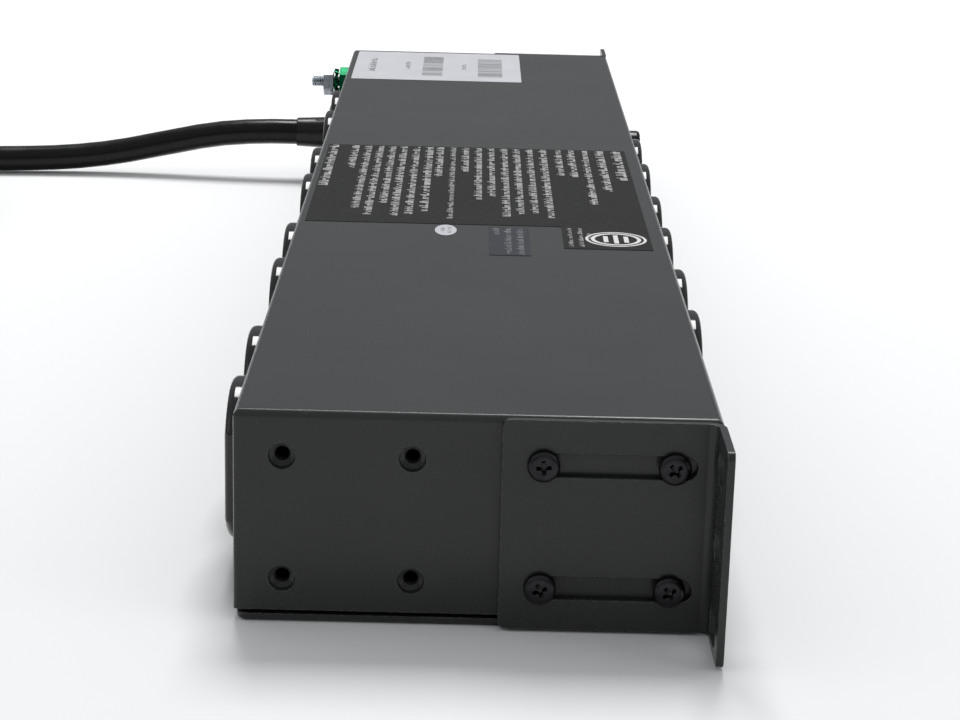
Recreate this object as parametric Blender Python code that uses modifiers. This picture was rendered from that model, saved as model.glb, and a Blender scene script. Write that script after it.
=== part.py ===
"""Rack power strip, one rack unit high.

A folded steel case carries four duplex receptacles on its rear panel and three on its front
panel. It has two slotted rack ears, a mains rocker, a push-to-reset breaker, a ground stud and
a supply cord whose spare length lies in a tied coil.

Frame: +X runs along the case, the front panel faces -Y, the rear panel faces +Y and +Z is up.
The origin is the centre of the case's underside. All sizes are in metres.
"""

import math

import bmesh
import bpy
import numpy as np
from mathutils import Matrix, Vector

# Driving dimensions of the case.
CASE_LENGTH = 0.4445
CASE_DEPTH = 0.09525
CASE_HEIGHT = 0.044
SHEET = 0.0012
GAP = 0.0003
HALF_LENGTH = CASE_LENGTH / 2
HALF_DEPTH = CASE_DEPTH / 2
MIDDLE = CASE_HEIGHT / 2
WALL_FOOT = 0.0026
BEND = 0.0018

# Bottom cover.
COVER_SHEET = 0.0016
COVER_INSET = 0.0005
HEM_TOP = 0.0043
COVER_SCREW_X = 0.214
COVER_SCREW_Y = 0.03
TAB_WIDTH = 0.012

# Hole grid of the two end walls: the front half carries the ear, the rear half is open.
GRID = 0.0254
GRID_Y = (-1.5 * GRID, -0.5 * GRID, 0.5 * GRID, 1.5 * GRID)
GRID_Z = (MIDDLE - GRID / 2, MIDDLE + GRID / 2)

# Rack ears.
RACK_WIDTH = 0.4826
EAR_SHEET = 0.0015
EAR_BEND = 0.0018
EAR_FOOT = 0.0004
EAR_TOP = 0.0438
EAR_FREE_Y = -0.0046
RACK_HOLE_STEP = 0.015875
RACK_HOLE_MIDDLE = MIDDLE - 0.001
RACK_SLOT = (0.0105, 0.0064)
ADJUST_SLOT = (0.0325, 0.0048)
ADJUST_SLOT_Y = -0.02645

# Duplex receptacles.
FACE_RADIUS = 0.01706
FACE_FLAT = 0.0143
FACE_PITCH = 0.0389
FACE_PROUD = 0.004
REAR_DUPLEX_X = [-0.0132 + 0.1023 * (i - 1.5) for i in range(4)]
FRONT_DUPLEX_X = [-0.0204 + 0.0846 * (i - 1) for i in range(3)]
DUPLEX_LENGTH = 0.0684
DUPLEX_HEIGHT = 0.03
DUPLEX_BACK = 0.0233
DUPLEX_SHOULDER = 0.0443
BLADE_HALF_PITCH = 0.00635
BLADE_OFFSET = 0.0044
GROUND_OFFSET = -0.0075
POCKET_DEPTH = 0.015

# Mains rocker, breaker and indicator lenses on the front panel.
SWITCH_X = 0.19
PIVOT_DEPTH = 0.0026
ROCKER_REACH = 0.0109
ROCKER_WIDTH = 0.009
ROCKER_TILT = math.radians(6)
BREAKER_X = 0.16
LENS_X = (0.118, 0.132)
LENS_RADIUS = 0.0025

# Supply cord, its strain relief, its coil and its plug.
CORD_RADIUS = 0.00455
RELIEF_X = 0.196
RELIEF_Z = 0.0172
RELIEF_TAIL = 0.0667
RELIEF_NECK = 0.0078
COIL_CENTRE = Vector((0.1239, 0.262, 0))
COIL_FLOOR = 0.0011
COIL_TOP = 0.0389
COIL_INNER = 0.0332
COIL_OUTER = 0.0708
TIE = 0.0007
TIE_WIDTH = 0.012
PLUG_REAR = Vector((0.036, 0.262, 0.0126))

# Ground stud on the rear panel.
STUD_X = 0.2
STUD_Z = 0.0355
STUD_RADIUS = 0.0019

# Surge parts inside.
BOARD_CENTRE = Vector((0.138, -0.003, 0.0068))
BOARD_SIZE = (0.074, 0.03, 0.0016)

# Conductors inside.
WIRE_RADIUS = 0.0017
WIRE_SPACING = 0.008

# Two faces that turn by less than the first are flat, and by more than the second a corner.
FLAT_TURN = math.radians(1)
CORNER_TURN = math.radians(40)

FRONT = Vector((0, -1, 0))
REAR = Vector((0, 1, 0))
RIGHT = Vector((1, 0, 0))
UP = Vector((0, 0, 1))

FINISHES = {
    "case_steel": ((0.09, 0.092, 0.093), 0.48, 0.35),
    "ear_steel": ((0.06, 0.063, 0.062), 0.42, 0.45),
    "black_screw": ((0.05, 0.05, 0.052), 0.35, 0.8),
    "receptacle_plastic": ((0.012, 0.012, 0.013), 0.16, 0.0),
    "bright_steel": ((0.5, 0.52, 0.54), 0.3, 1.0),
    "green_zinc": ((0.01, 0.3, 0.12), 0.3, 0.7),
    "black_plastic": ((0.015, 0.015, 0.016), 0.35, 0.0),
    "cord_jacket": ((0.012, 0.012, 0.012), 0.45, 0.0),
    "brass": ((0.55, 0.38, 0.13), 0.3, 1.0),
    "lens_green": ((0.02, 0.4, 0.1), 0.15, 0.0),
    "lens_amber": ((0.7, 0.28, 0.02), 0.15, 0.0),
    "circuit_board": ((0.02, 0.12, 0.05), 0.5, 0.0),
    "varistor_blue": ((0.03, 0.1, 0.4), 0.4, 0.0),
    "wire_white": ((0.7, 0.7, 0.68), 0.5, 0.0),
    "wire_green": ((0.03, 0.35, 0.08), 0.5, 0.0),
    "ferrite": ((0.04, 0.04, 0.045), 0.6, 0.1),
}


def start_scene():
    """Empties the scene and makes the collections for the parts and the cutters."""
    for existing in list(bpy.data.objects):
        bpy.data.objects.remove(existing, do_unlink=True)
    made = []
    for name in ("rack_power_strip", "cutters"):
        group = bpy.data.collections.new(name)
        bpy.context.scene.collection.children.link(group)
        made.append(group)
    return made


PARTS, CUTTERS = start_scene()


def finish(kind):
    """The Principled material of one finish, made once."""
    if kind in bpy.data.materials:
        return bpy.data.materials[kind]
    colour, roughness, metallic = FINISHES[kind]
    made = bpy.data.materials.new(kind)
    made.use_nodes = True
    shader = made.node_tree.nodes["Principled BSDF"]
    shader.inputs["Base Color"].default_value = (*colour, 1)
    shader.inputs["Roughness"].default_value = roughness
    shader.inputs["Metallic"].default_value = metallic
    return made


def facing(point, outward):
    """A frame at a point with local +Z along outward and local +Y up."""
    x_axis = UP.cross(outward)
    turn = Matrix((x_axis, UP, outward)).transposed().to_4x4()
    return Matrix.Translation(point) @ turn


def along(point, direction):
    """A frame at a point with local +Z along any direction."""
    return Matrix.Translation(point) @ direction.to_track_quat("Z", "Y").to_matrix().to_4x4()


def place(made, name, kind=None, frame=None):
    """Names an object, gives it its finish and frame, and links it with the parts."""
    made.name = name
    made.data.name = name
    if kind:
        made.data.materials.clear()
        made.data.materials.append(finish(kind))
    if frame is not None:
        made.matrix_world = frame
    for group in list(made.users_collection):
        group.objects.unlink(made)
    PARTS.objects.link(made)
    return made


def shade_round(mesh):
    """Shades the round stretches smooth and leaves flat faces and real corners sharp."""
    for edge in mesh.edges:
        turn = edge.calc_face_angle(0)
        if FLAT_TURN < turn < CORNER_TURN:
            for face in edge.link_faces:
                face.smooth = True
        edge.smooth = turn < CORNER_TURN


def solid(mesh, name="tool", kind=None, frame=None):
    """An object from a bmesh, with outward faces."""
    bmesh.ops.recalc_face_normals(mesh, faces=mesh.faces)
    shade_round(mesh)
    data = bpy.data.meshes.new(name)
    mesh.to_mesh(data)
    mesh.free()
    made = bpy.data.objects.new(name, data)
    PARTS.objects.link(made)
    return place(made, name, kind, frame)


def block(low, high):
    """A bmesh box between two corners."""
    low, high = Vector(low), Vector(high)
    mesh = bmesh.new()
    bmesh.ops.create_cube(mesh, size=1)
    bmesh.ops.scale(mesh, vec=high - low, verts=mesh.verts)
    bmesh.ops.translate(mesh, vec=(low + high) / 2, verts=mesh.verts)
    return mesh


def round_edges(mesh, chosen, radius, segments=3):
    """Bevels the edges that the test picks from their two ends."""
    edges = [e for e in mesh.edges if chosen(e.verts[0].co, e.verts[1].co)]
    bmesh.ops.bevel(
        mesh, geom=edges, offset=radius, segments=segments, profile=0.5, affect="EDGES"
    )
    return mesh


def upright(a, b):
    """True for an edge that runs along Z."""
    return abs(a.z - b.z) > 1e-5 and (a.xy - b.xy).length < 1e-6


def rod(radius, bottom, top, segments=16, top_radius=None):
    """A bmesh cylinder or cone about local Z."""
    mesh = bmesh.new()
    bmesh.ops.create_cone(
        mesh,
        cap_ends=True,
        segments=segments,
        radius1=radius,
        radius2=radius if top_radius is None else top_radius,
        depth=top - bottom,
    )
    bmesh.ops.translate(mesh, vec=(0, 0, (top + bottom) / 2), verts=mesh.verts)
    return mesh


def turned(profile, name="tool", kind=None, frame=None, segments=20, closed=False):
    """A profile of (radius, height) points, outer side downwards, turned about local Z."""
    data = bpy.data.meshes.new(name)
    count = len(profile)
    edges = [(i, i + 1) for i in range(count - 1)] + ([(count - 1, 0)] if closed else [])
    data.from_pydata([(r, 0, h) for r, h in profile], edges, [])
    made = bpy.data.objects.new(name, data)
    PARTS.objects.link(made)
    screw = made.modifiers.new("turn", "SCREW")
    screw.steps = segments
    screw.render_steps = segments
    screw.use_merge_vertices = True
    screw.merge_threshold = 0.00001
    screw.use_smooth_shade = True
    return place(made, name, kind, frame)


def arc(centre, radius, start, end, steps):
    """Points along an arc, angles in degrees, both ends included."""
    angles = [math.radians(start + (end - start) * i / steps) for i in range(steps + 1)]
    return [(centre[0] + radius * math.cos(a), centre[1] + radius * math.sin(a)) for a in angles]


def obround(length, width, centre=(0, 0), steps=6):
    """The outline of a slot with round ends, long along local X."""
    run = (length - width) / 2
    right = arc((centre[0] + run, centre[1]), width / 2, -90, 90, steps)
    left = arc((centre[0] - run, centre[1]), width / 2, 90, 270, steps)
    return right + left


def flat(outlines, low, high):
    """A bmesh plate: filled outlines in local XY, from height low to high."""
    curve = bpy.data.curves.new("outline", "CURVE")
    curve.dimensions = "2D"
    curve.fill_mode = "BOTH"
    curve.extrude = (high - low) / 2
    for outline in outlines:
        spline = curve.splines.new("POLY")
        spline.points.add(len(outline) - 1)
        for point, (x, y) in zip(spline.points, outline):
            point.co = (x, y, 0, 1)
        spline.use_cyclic_u = True
    drawn = bpy.data.objects.new("outline", curve)
    PARTS.objects.link(drawn)
    bpy.context.view_layer.update()
    depsgraph = bpy.context.evaluated_depsgraph_get()
    data = bpy.data.meshes.new_from_object(drawn.evaluated_get(depsgraph))
    mesh = bmesh.new()
    mesh.from_mesh(data)
    bpy.data.objects.remove(drawn)
    bpy.data.meshes.remove(data)
    bmesh.ops.remove_doubles(mesh, verts=mesh.verts, dist=1e-6)
    bmesh.ops.dissolve_limit(
        mesh, angle_limit=math.radians(1), verts=mesh.verts, edges=mesh.edges
    )
    bmesh.ops.translate(mesh, vec=(0, 0, (low + high) / 2), verts=mesh.verts)
    return mesh


def combine(target, tools, operation):
    """Joins the tools to the target, or cuts them from it."""
    group = bpy.data.collections.new(f"{target.name}_{operation.lower()}")
    CUTTERS.children.link(group)
    for tool in tools:
        PARTS.objects.unlink(tool)
        group.objects.link(tool)
        tool.hide_render = True
        tool.display_type = "WIRE"
    step = target.modifiers.new(operation.lower(), "BOOLEAN")
    step.operand_type = "COLLECTION"
    step.collection = group
    step.operation = operation
    step.solver = "EXACT"
    return target


def face_prism(radius, half_flat, back, front, rim=0):
    """The round face of a receptacle with its two flats, with a rounded front rim."""
    mesh = rod(radius, back, front, segments=24)
    for side in (-1, 1):
        bmesh.ops.bisect_plane(
            mesh,
            geom=mesh.verts[:] + mesh.edges[:] + mesh.faces[:],
            plane_co=(side * half_flat, 0, 0),
            plane_no=(side, 0, 0),
            clear_outer=True,
        )
        open_edges = [e for e in mesh.edges if e.is_boundary]
        bmesh.ops.edgeloop_fill(mesh, edges=open_edges)
    if rim:
        round_edges(mesh, lambda a, b: min(a.z, b.z) > front - 1e-6, rim, segments=3)
    return mesh


def face_centres(duplex_x):
    """The two face centres of a duplex receptacle."""
    return (duplex_x - FACE_PITCH / 2, duplex_x + FACE_PITCH / 2)


# --- the case ---------------------------------------------------------------------------------


def dimple(point, outward):
    """The inner boss and the stepped hole of one open mounting hole."""
    frame = facing(point, outward)
    boss = solid(rod(0.0034, -0.0034, -0.0006, 16), frame=frame)
    step = [(0, 0.0004), (0.0029, 0.0004), (0.00265, -0.0002), (0.0025, -0.0013)]
    step += [(0.0018, -0.0015), (0.0015, -0.0018), (0.0015, -0.004), (0, -0.004)]
    return boss, turned(step, frame=frame, segments=16)


def panel_cutters():
    """The cutters of every opening in the front and rear panels."""
    cutters = []
    for outward, duplexes in ((REAR, REAR_DUPLEX_X), (FRONT, FRONT_DUPLEX_X)):
        for centre in [x for duplex_x in duplexes for x in face_centres(duplex_x)]:
            frame = facing((centre, outward.y * HALF_DEPTH, MIDDLE), outward)
            hole = face_prism(FACE_RADIUS + GAP, FACE_FLAT + GAP, -0.003, 0.001)
            cutters.append(solid(hole, frame=frame))
    round_holes = [(BREAKER_X, MIDDLE, FRONT, 0.0051), (RELIEF_X, RELIEF_Z, REAR, RELIEF_NECK)]
    round_holes += [(x, MIDDLE, FRONT, LENS_RADIUS + GAP) for x in LENS_X]
    round_holes += [(STUD_X, STUD_Z, REAR, STUD_RADIUS + GAP)]
    for x, z, outward, radius in round_holes:
        frame = facing((x, outward.y * HALF_DEPTH, z), outward)
        cutters.append(solid(rod(radius, -0.003, 0.001, 20), frame=frame))
    frame = facing((SWITCH_X, -HALF_DEPTH, MIDDLE), FRONT)
    cutters.append(solid(block((-0.0133, -0.0067, -0.003), (0.0133, 0.0067, 0.001)), frame=frame))
    return cutters


def end_details(side):
    """The additions and cutters of one end wall: tabs, stepped holes and screw holes."""
    outward = RIGHT * side
    face_x = side * HALF_LENGTH
    added = []
    cutters = []
    for tab_y in (-COVER_SCREW_Y, COVER_SCREW_Y):
        inner_x = side * (COVER_SCREW_X - 0.005)
        ends = sorted((inner_x, face_x - side * SHEET / 2))
        low = (ends[0], tab_y - TAB_WIDTH / 2, WALL_FOOT)
        high = (ends[1], tab_y + TAB_WIDTH / 2, WALL_FOOT + SHEET)
        added.append(solid(block(low, high)))
        frame = Matrix.Translation((side * COVER_SCREW_X, tab_y, 0))
        cutters.append(solid(rod(0.0017, 0.001, 0.006, 12), frame=frame))
    for z in GRID_Z:
        for y in GRID_Y[:2]:
            frame = facing((face_x, y, z), outward)
            cutters.append(solid(rod(0.0017, -0.003, 0.001, 12), frame=frame))
        for y in GRID_Y[2:]:
            boss, flare = dimple((face_x, y, z), outward)
            added.append(boss)
            cutters.append(flare)
    return added, cutters


def make_top_shell():
    """The top sheet with its four walls folded down."""
    mesh = block((-HALF_LENGTH, -HALF_DEPTH, WALL_FOOT), (HALF_LENGTH, HALF_DEPTH, CASE_HEIGHT))
    round_edges(mesh, lambda a, b: min(a.z, b.z) > CASE_HEIGHT - 1e-6, BEND, segments=4)
    round_edges(mesh, upright, 0.0007, segments=2)
    shell = solid(mesh, "top_shell", "case_steel")
    inner_x, inner_y = HALF_LENGTH - SHEET, HALF_DEPTH - SHEET
    hollow = block((-inner_x, -inner_y, -0.002), (inner_x, inner_y, CASE_HEIGHT - SHEET))
    round_edges(hollow, lambda a, b: min(a.z, b.z) > CASE_HEIGHT / 2, BEND - SHEET, segments=2)
    combine(shell, [solid(hollow)], "DIFFERENCE")
    left_added, left_cutters = end_details(-1)
    right_added, right_cutters = end_details(1)
    combine(shell, left_added + right_added, "UNION")
    combine(shell, left_cutters + right_cutters + panel_cutters(), "DIFFERENCE")


def make_bottom_cover():
    """The flat cover with a short hem behind the front and rear panels."""
    reach_x, reach_y = HALF_LENGTH - COVER_INSET, HALF_DEPTH - COVER_INSET
    mesh = block((-reach_x, -reach_y, 0), (reach_x, reach_y, COVER_SHEET))
    round_edges(mesh, upright, 0.0018, segments=3)
    round_edges(mesh, lambda a, b: max(a.z, b.z) < 1e-6, 0.0009, segments=3)
    cover = solid(mesh, "bottom_cover", "case_steel")
    hem_outer = HALF_DEPTH - SHEET - 1.3 * GAP
    hems = []
    for side in (-1, 1):
        ys = sorted((side * hem_outer, side * (hem_outer - SHEET)))
        low = (-(reach_x - 0.006), ys[0], COVER_SHEET / 2)
        hems.append(solid(block(low, (reach_x - 0.006, ys[1], HEM_TOP))))
    combine(cover, hems, "UNION")
    profile = [(0, 0.002), (0.0018, 0.002), (0.0018, 0.0017), (0.0034, 0.0001)]
    profile += [(0.0034, -0.001), (0, -0.001)]
    spots = cover_screw_spots()
    combine(cover, [turned(profile, frame=spot, segments=12) for spot in spots], "DIFFERENCE")


def cover_screw_spots():
    """The frames of the four countersunk cover screws, on the cover's underside."""
    return [
        Matrix.Translation((x, y, 0))
        for x in (-COVER_SCREW_X, COVER_SCREW_X)
        for y in (-COVER_SCREW_Y, COVER_SCREW_Y)
    ]


def phillips(depth, reach, width, angle):
    """Two crossed tapered cutters of a Phillips recess, open at local height 0."""
    tools = []
    for quarter in (0, 90):
        mesh = block((-reach, -width / 2, -depth), (reach, width / 2, 0.0004))
        for vert in mesh.verts:
            if vert.co.z < 0:
                vert.co.x *= 0.35
        tools.append((mesh, math.radians(angle + quarter)))
    return tools


def make_screw(name, frame, head, angle, kind="black_screw"):
    """A screw from its head's profile, with a Phillips recess."""
    made = turned(head, name, kind, frame, segments=12)
    top = head[0][1]
    tools = []
    for mesh, turn in phillips(0.0011, 0.0017, 0.0007, angle):
        spot = frame @ Matrix.Translation((0, 0, top)) @ Matrix.Rotation(turn, 4, "Z")
        tools.append(solid(mesh, frame=spot))
    combine(made, tools, "DIFFERENCE")


def make_cover_screws():
    """Four flat-head screws, heads down."""
    for number, spot in enumerate(cover_screw_spots(), 1):
        under = spot @ Matrix.Rotation(math.pi, 4, "X")
        profile = [(0, -0.00015), (0.003, -0.00015), (0.003, -0.0003), (0.0014, -0.0019)]
        profile += [(0.0014, -0.0065), (0.001, -0.0072), (0, -0.0072)]
        make_screw(f"cover_screw_{number}", under, profile, 20 * number)


# --- the rack ears ----------------------------------------------------------------------------


def ear_outline(side):
    """The plan outline of an ear: a leg along the end wall and a flange out to the rack."""
    leg_inner = HALF_LENGTH + GAP
    leg_outer = leg_inner + EAR_SHEET
    front = -HALF_DEPTH
    back = front + EAR_SHEET
    inside, outside = EAR_BEND, EAR_BEND + EAR_SHEET
    points = [(leg_inner, EAR_FREE_Y), (leg_outer, EAR_FREE_Y)]
    points += arc((leg_outer + inside, back + inside), inside, 180, 270, 6)
    points += [(RACK_WIDTH / 2, back), (RACK_WIDTH / 2, front)]
    points += arc((leg_inner + outside, front + outside), outside, 270, 180, 8)
    return [(side * x, y) for x, y in points]


def make_ear(name, side):
    """One L-shaped ear with three rack slots and two adjusting slots."""
    mesh = flat([ear_outline(side)], EAR_FOOT, EAR_TOP)

    def is_corner(a, b):
        at_leg_end = min(a.y, b.y) > EAR_FREE_Y - 1e-5
        at_flange_end = min(abs(a.x), abs(b.x)) > RACK_WIDTH / 2 - 1e-5
        across = (a - b).length < EAR_SHEET * 1.01
        return across and (at_leg_end or at_flange_end)

    round_edges(mesh, is_corner, 0.0016, segments=4)
    ear = solid(mesh, name, "ear_steel")
    tools = []
    flange_middle = side * (HALF_LENGTH + RACK_WIDTH / 2) / 2
    for step in (-1, 0, 1):
        spot = (flange_middle, -HALF_DEPTH, RACK_HOLE_MIDDLE + step * RACK_HOLE_STEP)
        hole = flat([obround(*RACK_SLOT)], -0.003, 0.001)
        tools.append(solid(hole, frame=facing(spot, FRONT)))
    for z in GRID_Z:
        hole = flat([obround(*ADJUST_SLOT)], -0.001, 0.004)
        spot = (side * HALF_LENGTH, ADJUST_SLOT_Y, z)
        tools.append(solid(hole, frame=facing(spot, RIGHT * side)))
    combine(ear, tools, "DIFFERENCE")


def make_ear_screws(name, side, angles):
    """The four flat-topped screws that hold an ear to its end wall."""
    seat = HALF_LENGTH + EAR_SHEET + 2 * GAP
    spots = [(y, z) for z in reversed(GRID_Z) for y in reversed(GRID_Y[:2])]
    for number, ((y, z), angle) in enumerate(zip(spots, angles), 1):
        frame = facing((side * seat, y, z), RIGHT * side)
        head = [(0, 0.0015), (0.0022, 0.00145), (0.0028, 0.00125), (0.0032, 0.0008)]
        head += [(0.0032, 0), (0.0014, 0), (0.0014, -0.0072), (0.001, -0.008), (0, -0.008)]
        make_screw(f"{name}_{number}", frame, head, angle)


# --- the receptacles --------------------------------------------------------------------------


def make_duplex(name, centre_x, outward):
    """A duplex receptacle lying on its side, both faces through the panel."""
    frame = facing((centre_x, outward.y * HALF_DEPTH, MIDDLE), outward)
    shoulder = DUPLEX_SHOULDER - HALF_DEPTH
    back = DUPLEX_BACK - HALF_DEPTH
    half_length, half_height = DUPLEX_LENGTH / 2, DUPLEX_HEIGHT / 2
    mesh = block((-half_length, -half_height, back), (half_length, half_height, shoulder))
    round_edges(mesh, lambda a, b: True, 0.0008, segments=1)
    body = solid(mesh, name, "receptacle_plastic", frame)
    faces, pockets = [], []
    for shift in (-FACE_PITCH / 2, FACE_PITCH / 2):
        spot = frame @ Matrix.Translation((shift, 0, 0))
        face = face_prism(FACE_RADIUS, FACE_FLAT, shoulder - 0.003, FACE_PROUD, rim=0.0024)
        faces.append(solid(face, frame=spot))
        for y, length in ((BLADE_HALF_PITCH, 0.008), (-BLADE_HALF_PITCH, 0.0068)):
            low = (BLADE_OFFSET - length / 2, y - 0.00115, FACE_PROUD - POCKET_DEPTH)
            high = (BLADE_OFFSET + length / 2, y + 0.00115, FACE_PROUD + 0.001)
            pockets.append(solid(block(low, high), frame=spot))
        bore = arc((GROUND_OFFSET, 0), 0.00245, 90, 270, 6)
        bore += [(GROUND_OFFSET + 0.0019, -0.00245), (GROUND_OFFSET + 0.0019, 0.00245)]
        hole = flat([bore], FACE_PROUD - POCKET_DEPTH, FACE_PROUD + 0.001)
        pockets.append(solid(hole, frame=spot))
    combine(body, faces, "UNION")
    combine(body, pockets, "DIFFERENCE")


def make_strap(name, centre_x, outward):
    """The steel strap around the back of a duplex, its ears against the panel."""
    frame = facing((centre_x, outward.y * HALF_DEPTH, 0), outward)
    leg = DUPLEX_LENGTH / 2 + GAP
    outer = leg + SHEET
    ear_end = outer + 0.006
    back = DUPLEX_BACK - HALF_DEPTH - GAP
    ear = -SHEET - 1.1 * GAP
    half = [(leg, back), (leg, ear), (ear_end, ear), (ear_end, ear - SHEET)]
    half += [(outer, ear - SHEET), (outer, back - SHEET)]
    outline = half + [(-x, y) for x, y in reversed(half)]
    turn = Matrix.Rotation(math.radians(90), 4, "X")
    mesh = flat([outline], -0.011, 0.011)
    solid(mesh, name, "bright_steel", frame @ Matrix.Translation((0, MIDDLE, 0)) @ turn)


def make_receptacles():
    """Four duplex receptacles behind and three in front, each with its strap."""
    for row, outward, places in (
        ("rear", REAR, REAR_DUPLEX_X),
        ("front", FRONT, FRONT_DUPLEX_X),
    ):
        for number, centre_x in enumerate(places, 1):
            make_duplex(f"{row}_duplex_{number}", centre_x, outward)
            make_strap(f"{row}_strap_{number}", centre_x, outward)


# --- the front controls -----------------------------------------------------------------------


def make_switch():
    """The rocker and its housing. The rocker turns about an upright pin behind the panel."""
    frame = facing((SWITCH_X, -HALF_DEPTH, MIDDLE), FRONT)
    housing = solid(
        block((-0.013, -0.0064, -0.021), (0.013, 0.0064, 0.0008)),
        "switch_housing",
        "black_plastic",
        frame,
    )
    bezel = block((-0.0152, -0.0083, GAP), (0.0152, 0.0083, 0.0013))
    round_edges(bezel, lambda a, b: min(a.z, b.z) > 0.0012, 0.0006, segments=2)
    combine(housing, [solid(bezel, frame=frame)], "UNION")
    reach = ROCKER_REACH + 1.3 * GAP
    half_width = ROCKER_WIDTH / 2 + GAP
    pocket = block((-reach, -half_width, -0.0086), (reach, half_width, 0.003))
    combine(housing, [solid(pocket, frame=frame)], "DIFFERENCE")

    pivot = frame @ Matrix.Translation((0, 0, -PIVOT_DEPTH))
    rise = math.degrees(math.asin(0.0052 / ROCKER_REACH))
    fall = math.degrees(math.asin(0.003 / ROCKER_REACH))
    outline = arc((0, 0), ROCKER_REACH, -fall, rise, 5) + [(0.004, 0.0045), (0, 0.0043)]
    outline += [(-0.004, 0.0045)] + arc((0, 0), ROCKER_REACH, 180 - rise, 180 + fall, 5)
    mesh = flat([outline], -ROCKER_WIDTH / 2, ROCKER_WIDTH / 2)
    lay = Matrix.Rotation(math.radians(90), 4, "X")
    tilt = Matrix.Rotation(ROCKER_TILT, 4, "Y")
    solid(mesh, "switch_rocker", "black_plastic", pivot @ tilt @ lay)


def make_breaker():
    """The push-to-reset breaker: body with a threaded bush, its nut and its button."""
    frame = facing((BREAKER_X, -HALF_DEPTH, MIDDLE), FRONT)
    case = block((-0.0075, -0.012, -0.03), (0.0075, 0.012, -0.0016))
    body = solid(case, "breaker_body", "black_plastic", frame)
    bush = solid(rod(0.0047, -0.003, 0.0036, 20), frame=frame)
    combine(body, [bush], "UNION")
    combine(body, [solid(rod(0.0031, -0.006, 0.005, 16), frame=frame)], "DIFFERENCE")
    nut = solid(rod(0.0073, GAP, 0.0027, 6), "breaker_nut", "bright_steel", frame)
    combine(nut, [solid(rod(0.005, -0.001, 0.004, 20), frame=frame)], "DIFFERENCE")
    button = [(0, 0.0092), (0.0035, 0.0092), (0.0049, 0.009), (0.0055, 0.0083)]
    button += [(0.0055, 0.0045), (0.0051, 0.0041), (0.0028, 0.0041), (0.0028, -0.005)]
    button += [(0, -0.005)]
    turned(button, "reset_button", "black_plastic", frame, segments=18)


def make_lenses():
    """Two small indicator lenses beside the breaker."""
    for name, x, kind in (
        ("power_lens", LENS_X[0], "lens_green"),
        ("surge_lens", LENS_X[1], "lens_amber"),
    ):
        frame = facing((x, -HALF_DEPTH, MIDDLE), FRONT)
        r = LENS_RADIUS
        profile = [(0, 0.0016), (0.5 * r, 0.0014), (0.85 * r, 0.0009), (r, 0.0002)]
        profile += [(r, -0.006), (0, -0.006)]
        turned(profile, name, kind, frame, segments=16)


# --- the ground stud --------------------------------------------------------------------------


def make_ring_nut(name, kind, frame, corner_radius, bottom, top, segments=6):
    """A nut or washer: a prism with a clearance bore for the stud."""
    made = solid(rod(corner_radius, bottom, top, segments), name, kind, frame)
    bore = rod(STUD_RADIUS + GAP, bottom - 0.001, top + 0.001, 16)
    combine(made, [solid(bore, frame=frame)], "DIFFERENCE")


def make_ground_stud():
    """The stud through the rear panel with its green nut, star washer and hex nut."""
    frame = facing((STUD_X, HALF_DEPTH, STUD_Z), REAR)
    r = STUD_RADIUS
    profile = [(0, 0.0138), (0.7 * r, 0.0138), (r, 0.0131), (r, -0.0016), (0.0044, -0.0016)]
    profile += [(0.0044, -0.004), (0, -0.004)]
    turned(profile, "ground_stud", "bright_steel", frame, segments=16)
    spin = frame @ Matrix.Rotation(math.radians(8), 4, "Z")
    make_ring_nut("ground_green_nut", "green_zinc", spin, 0.0053, GAP, 0.0037)
    make_ring_nut("ground_hex_nut", "bright_steel", spin, 0.005, 0.006, 0.0095)
    teeth = 12
    outline = []
    for tooth in range(teeth):
        for share, radius in ((0, 0.0036), (0.25, 0.0047), (0.5, 0.0047), (0.75, 0.0036)):
            angle = 2 * math.pi * (tooth + share) / teeth
            outline.append((radius * math.cos(angle), radius * math.sin(angle)))
    bore = arc((0, 0), r + GAP, 0, 330, 11)
    solid(flat([outline, bore], 0.004, 0.0057), "ground_star_washer", "green_zinc", frame)


# --- the supply cord --------------------------------------------------------------------------


def smooth_route(points, spacing):
    """Evenly spaced points on a Catmull-Rom curve through the given points."""
    given = np.array([tuple(p) for p in points], float)
    ends = np.vstack([2 * given[0] - given[1], given, 2 * given[-1] - given[-2]])
    dense = []
    for a, b, c, d in zip(ends, ends[1:], ends[2:], ends[3:]):
        for t in np.linspace(0, 1, 24, endpoint=False):
            dense.append(
                0.5
                * (
                    2 * b
                    + (c - a) * t
                    + (2 * a - 5 * b + 4 * c - d) * t**2
                    + (3 * b - a - 3 * c + d) * t**3
                )
            )
    dense = np.array(dense + [given[-1]])
    travelled = np.concatenate([[0], np.cumsum(np.linalg.norm(np.diff(dense, axis=0), axis=1))])
    count = max(2, round(travelled[-1] / spacing) + 1)
    wanted = np.linspace(0, travelled[-1], count)
    return np.column_stack([np.interp(wanted, travelled, dense[:, k]) for k in range(3)])


def tube(name, kind, points, radius, spacing):
    """A round tube along a smooth route, with filled ends."""
    curve = bpy.data.curves.new(name, "CURVE")
    curve.dimensions = "3D"
    curve.bevel_depth = radius
    curve.bevel_resolution = 2
    curve.use_fill_caps = True
    route = smooth_route(points, spacing)
    spline = curve.splines.new("POLY")
    spline.points.add(len(route) - 1)
    for point, position in zip(spline.points, route):
        point.co = (*position, 1)
    made = bpy.data.objects.new(name, curve)
    PARTS.objects.link(made)
    curve.materials.append(finish(kind))


def around_coil(radius, degrees, height):
    """A point beside the coil, by its angle about the coil's axis."""
    angle = math.radians(degrees)
    return COIL_CENTRE + Vector((radius * math.cos(angle), radius * math.sin(angle), height))


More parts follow.
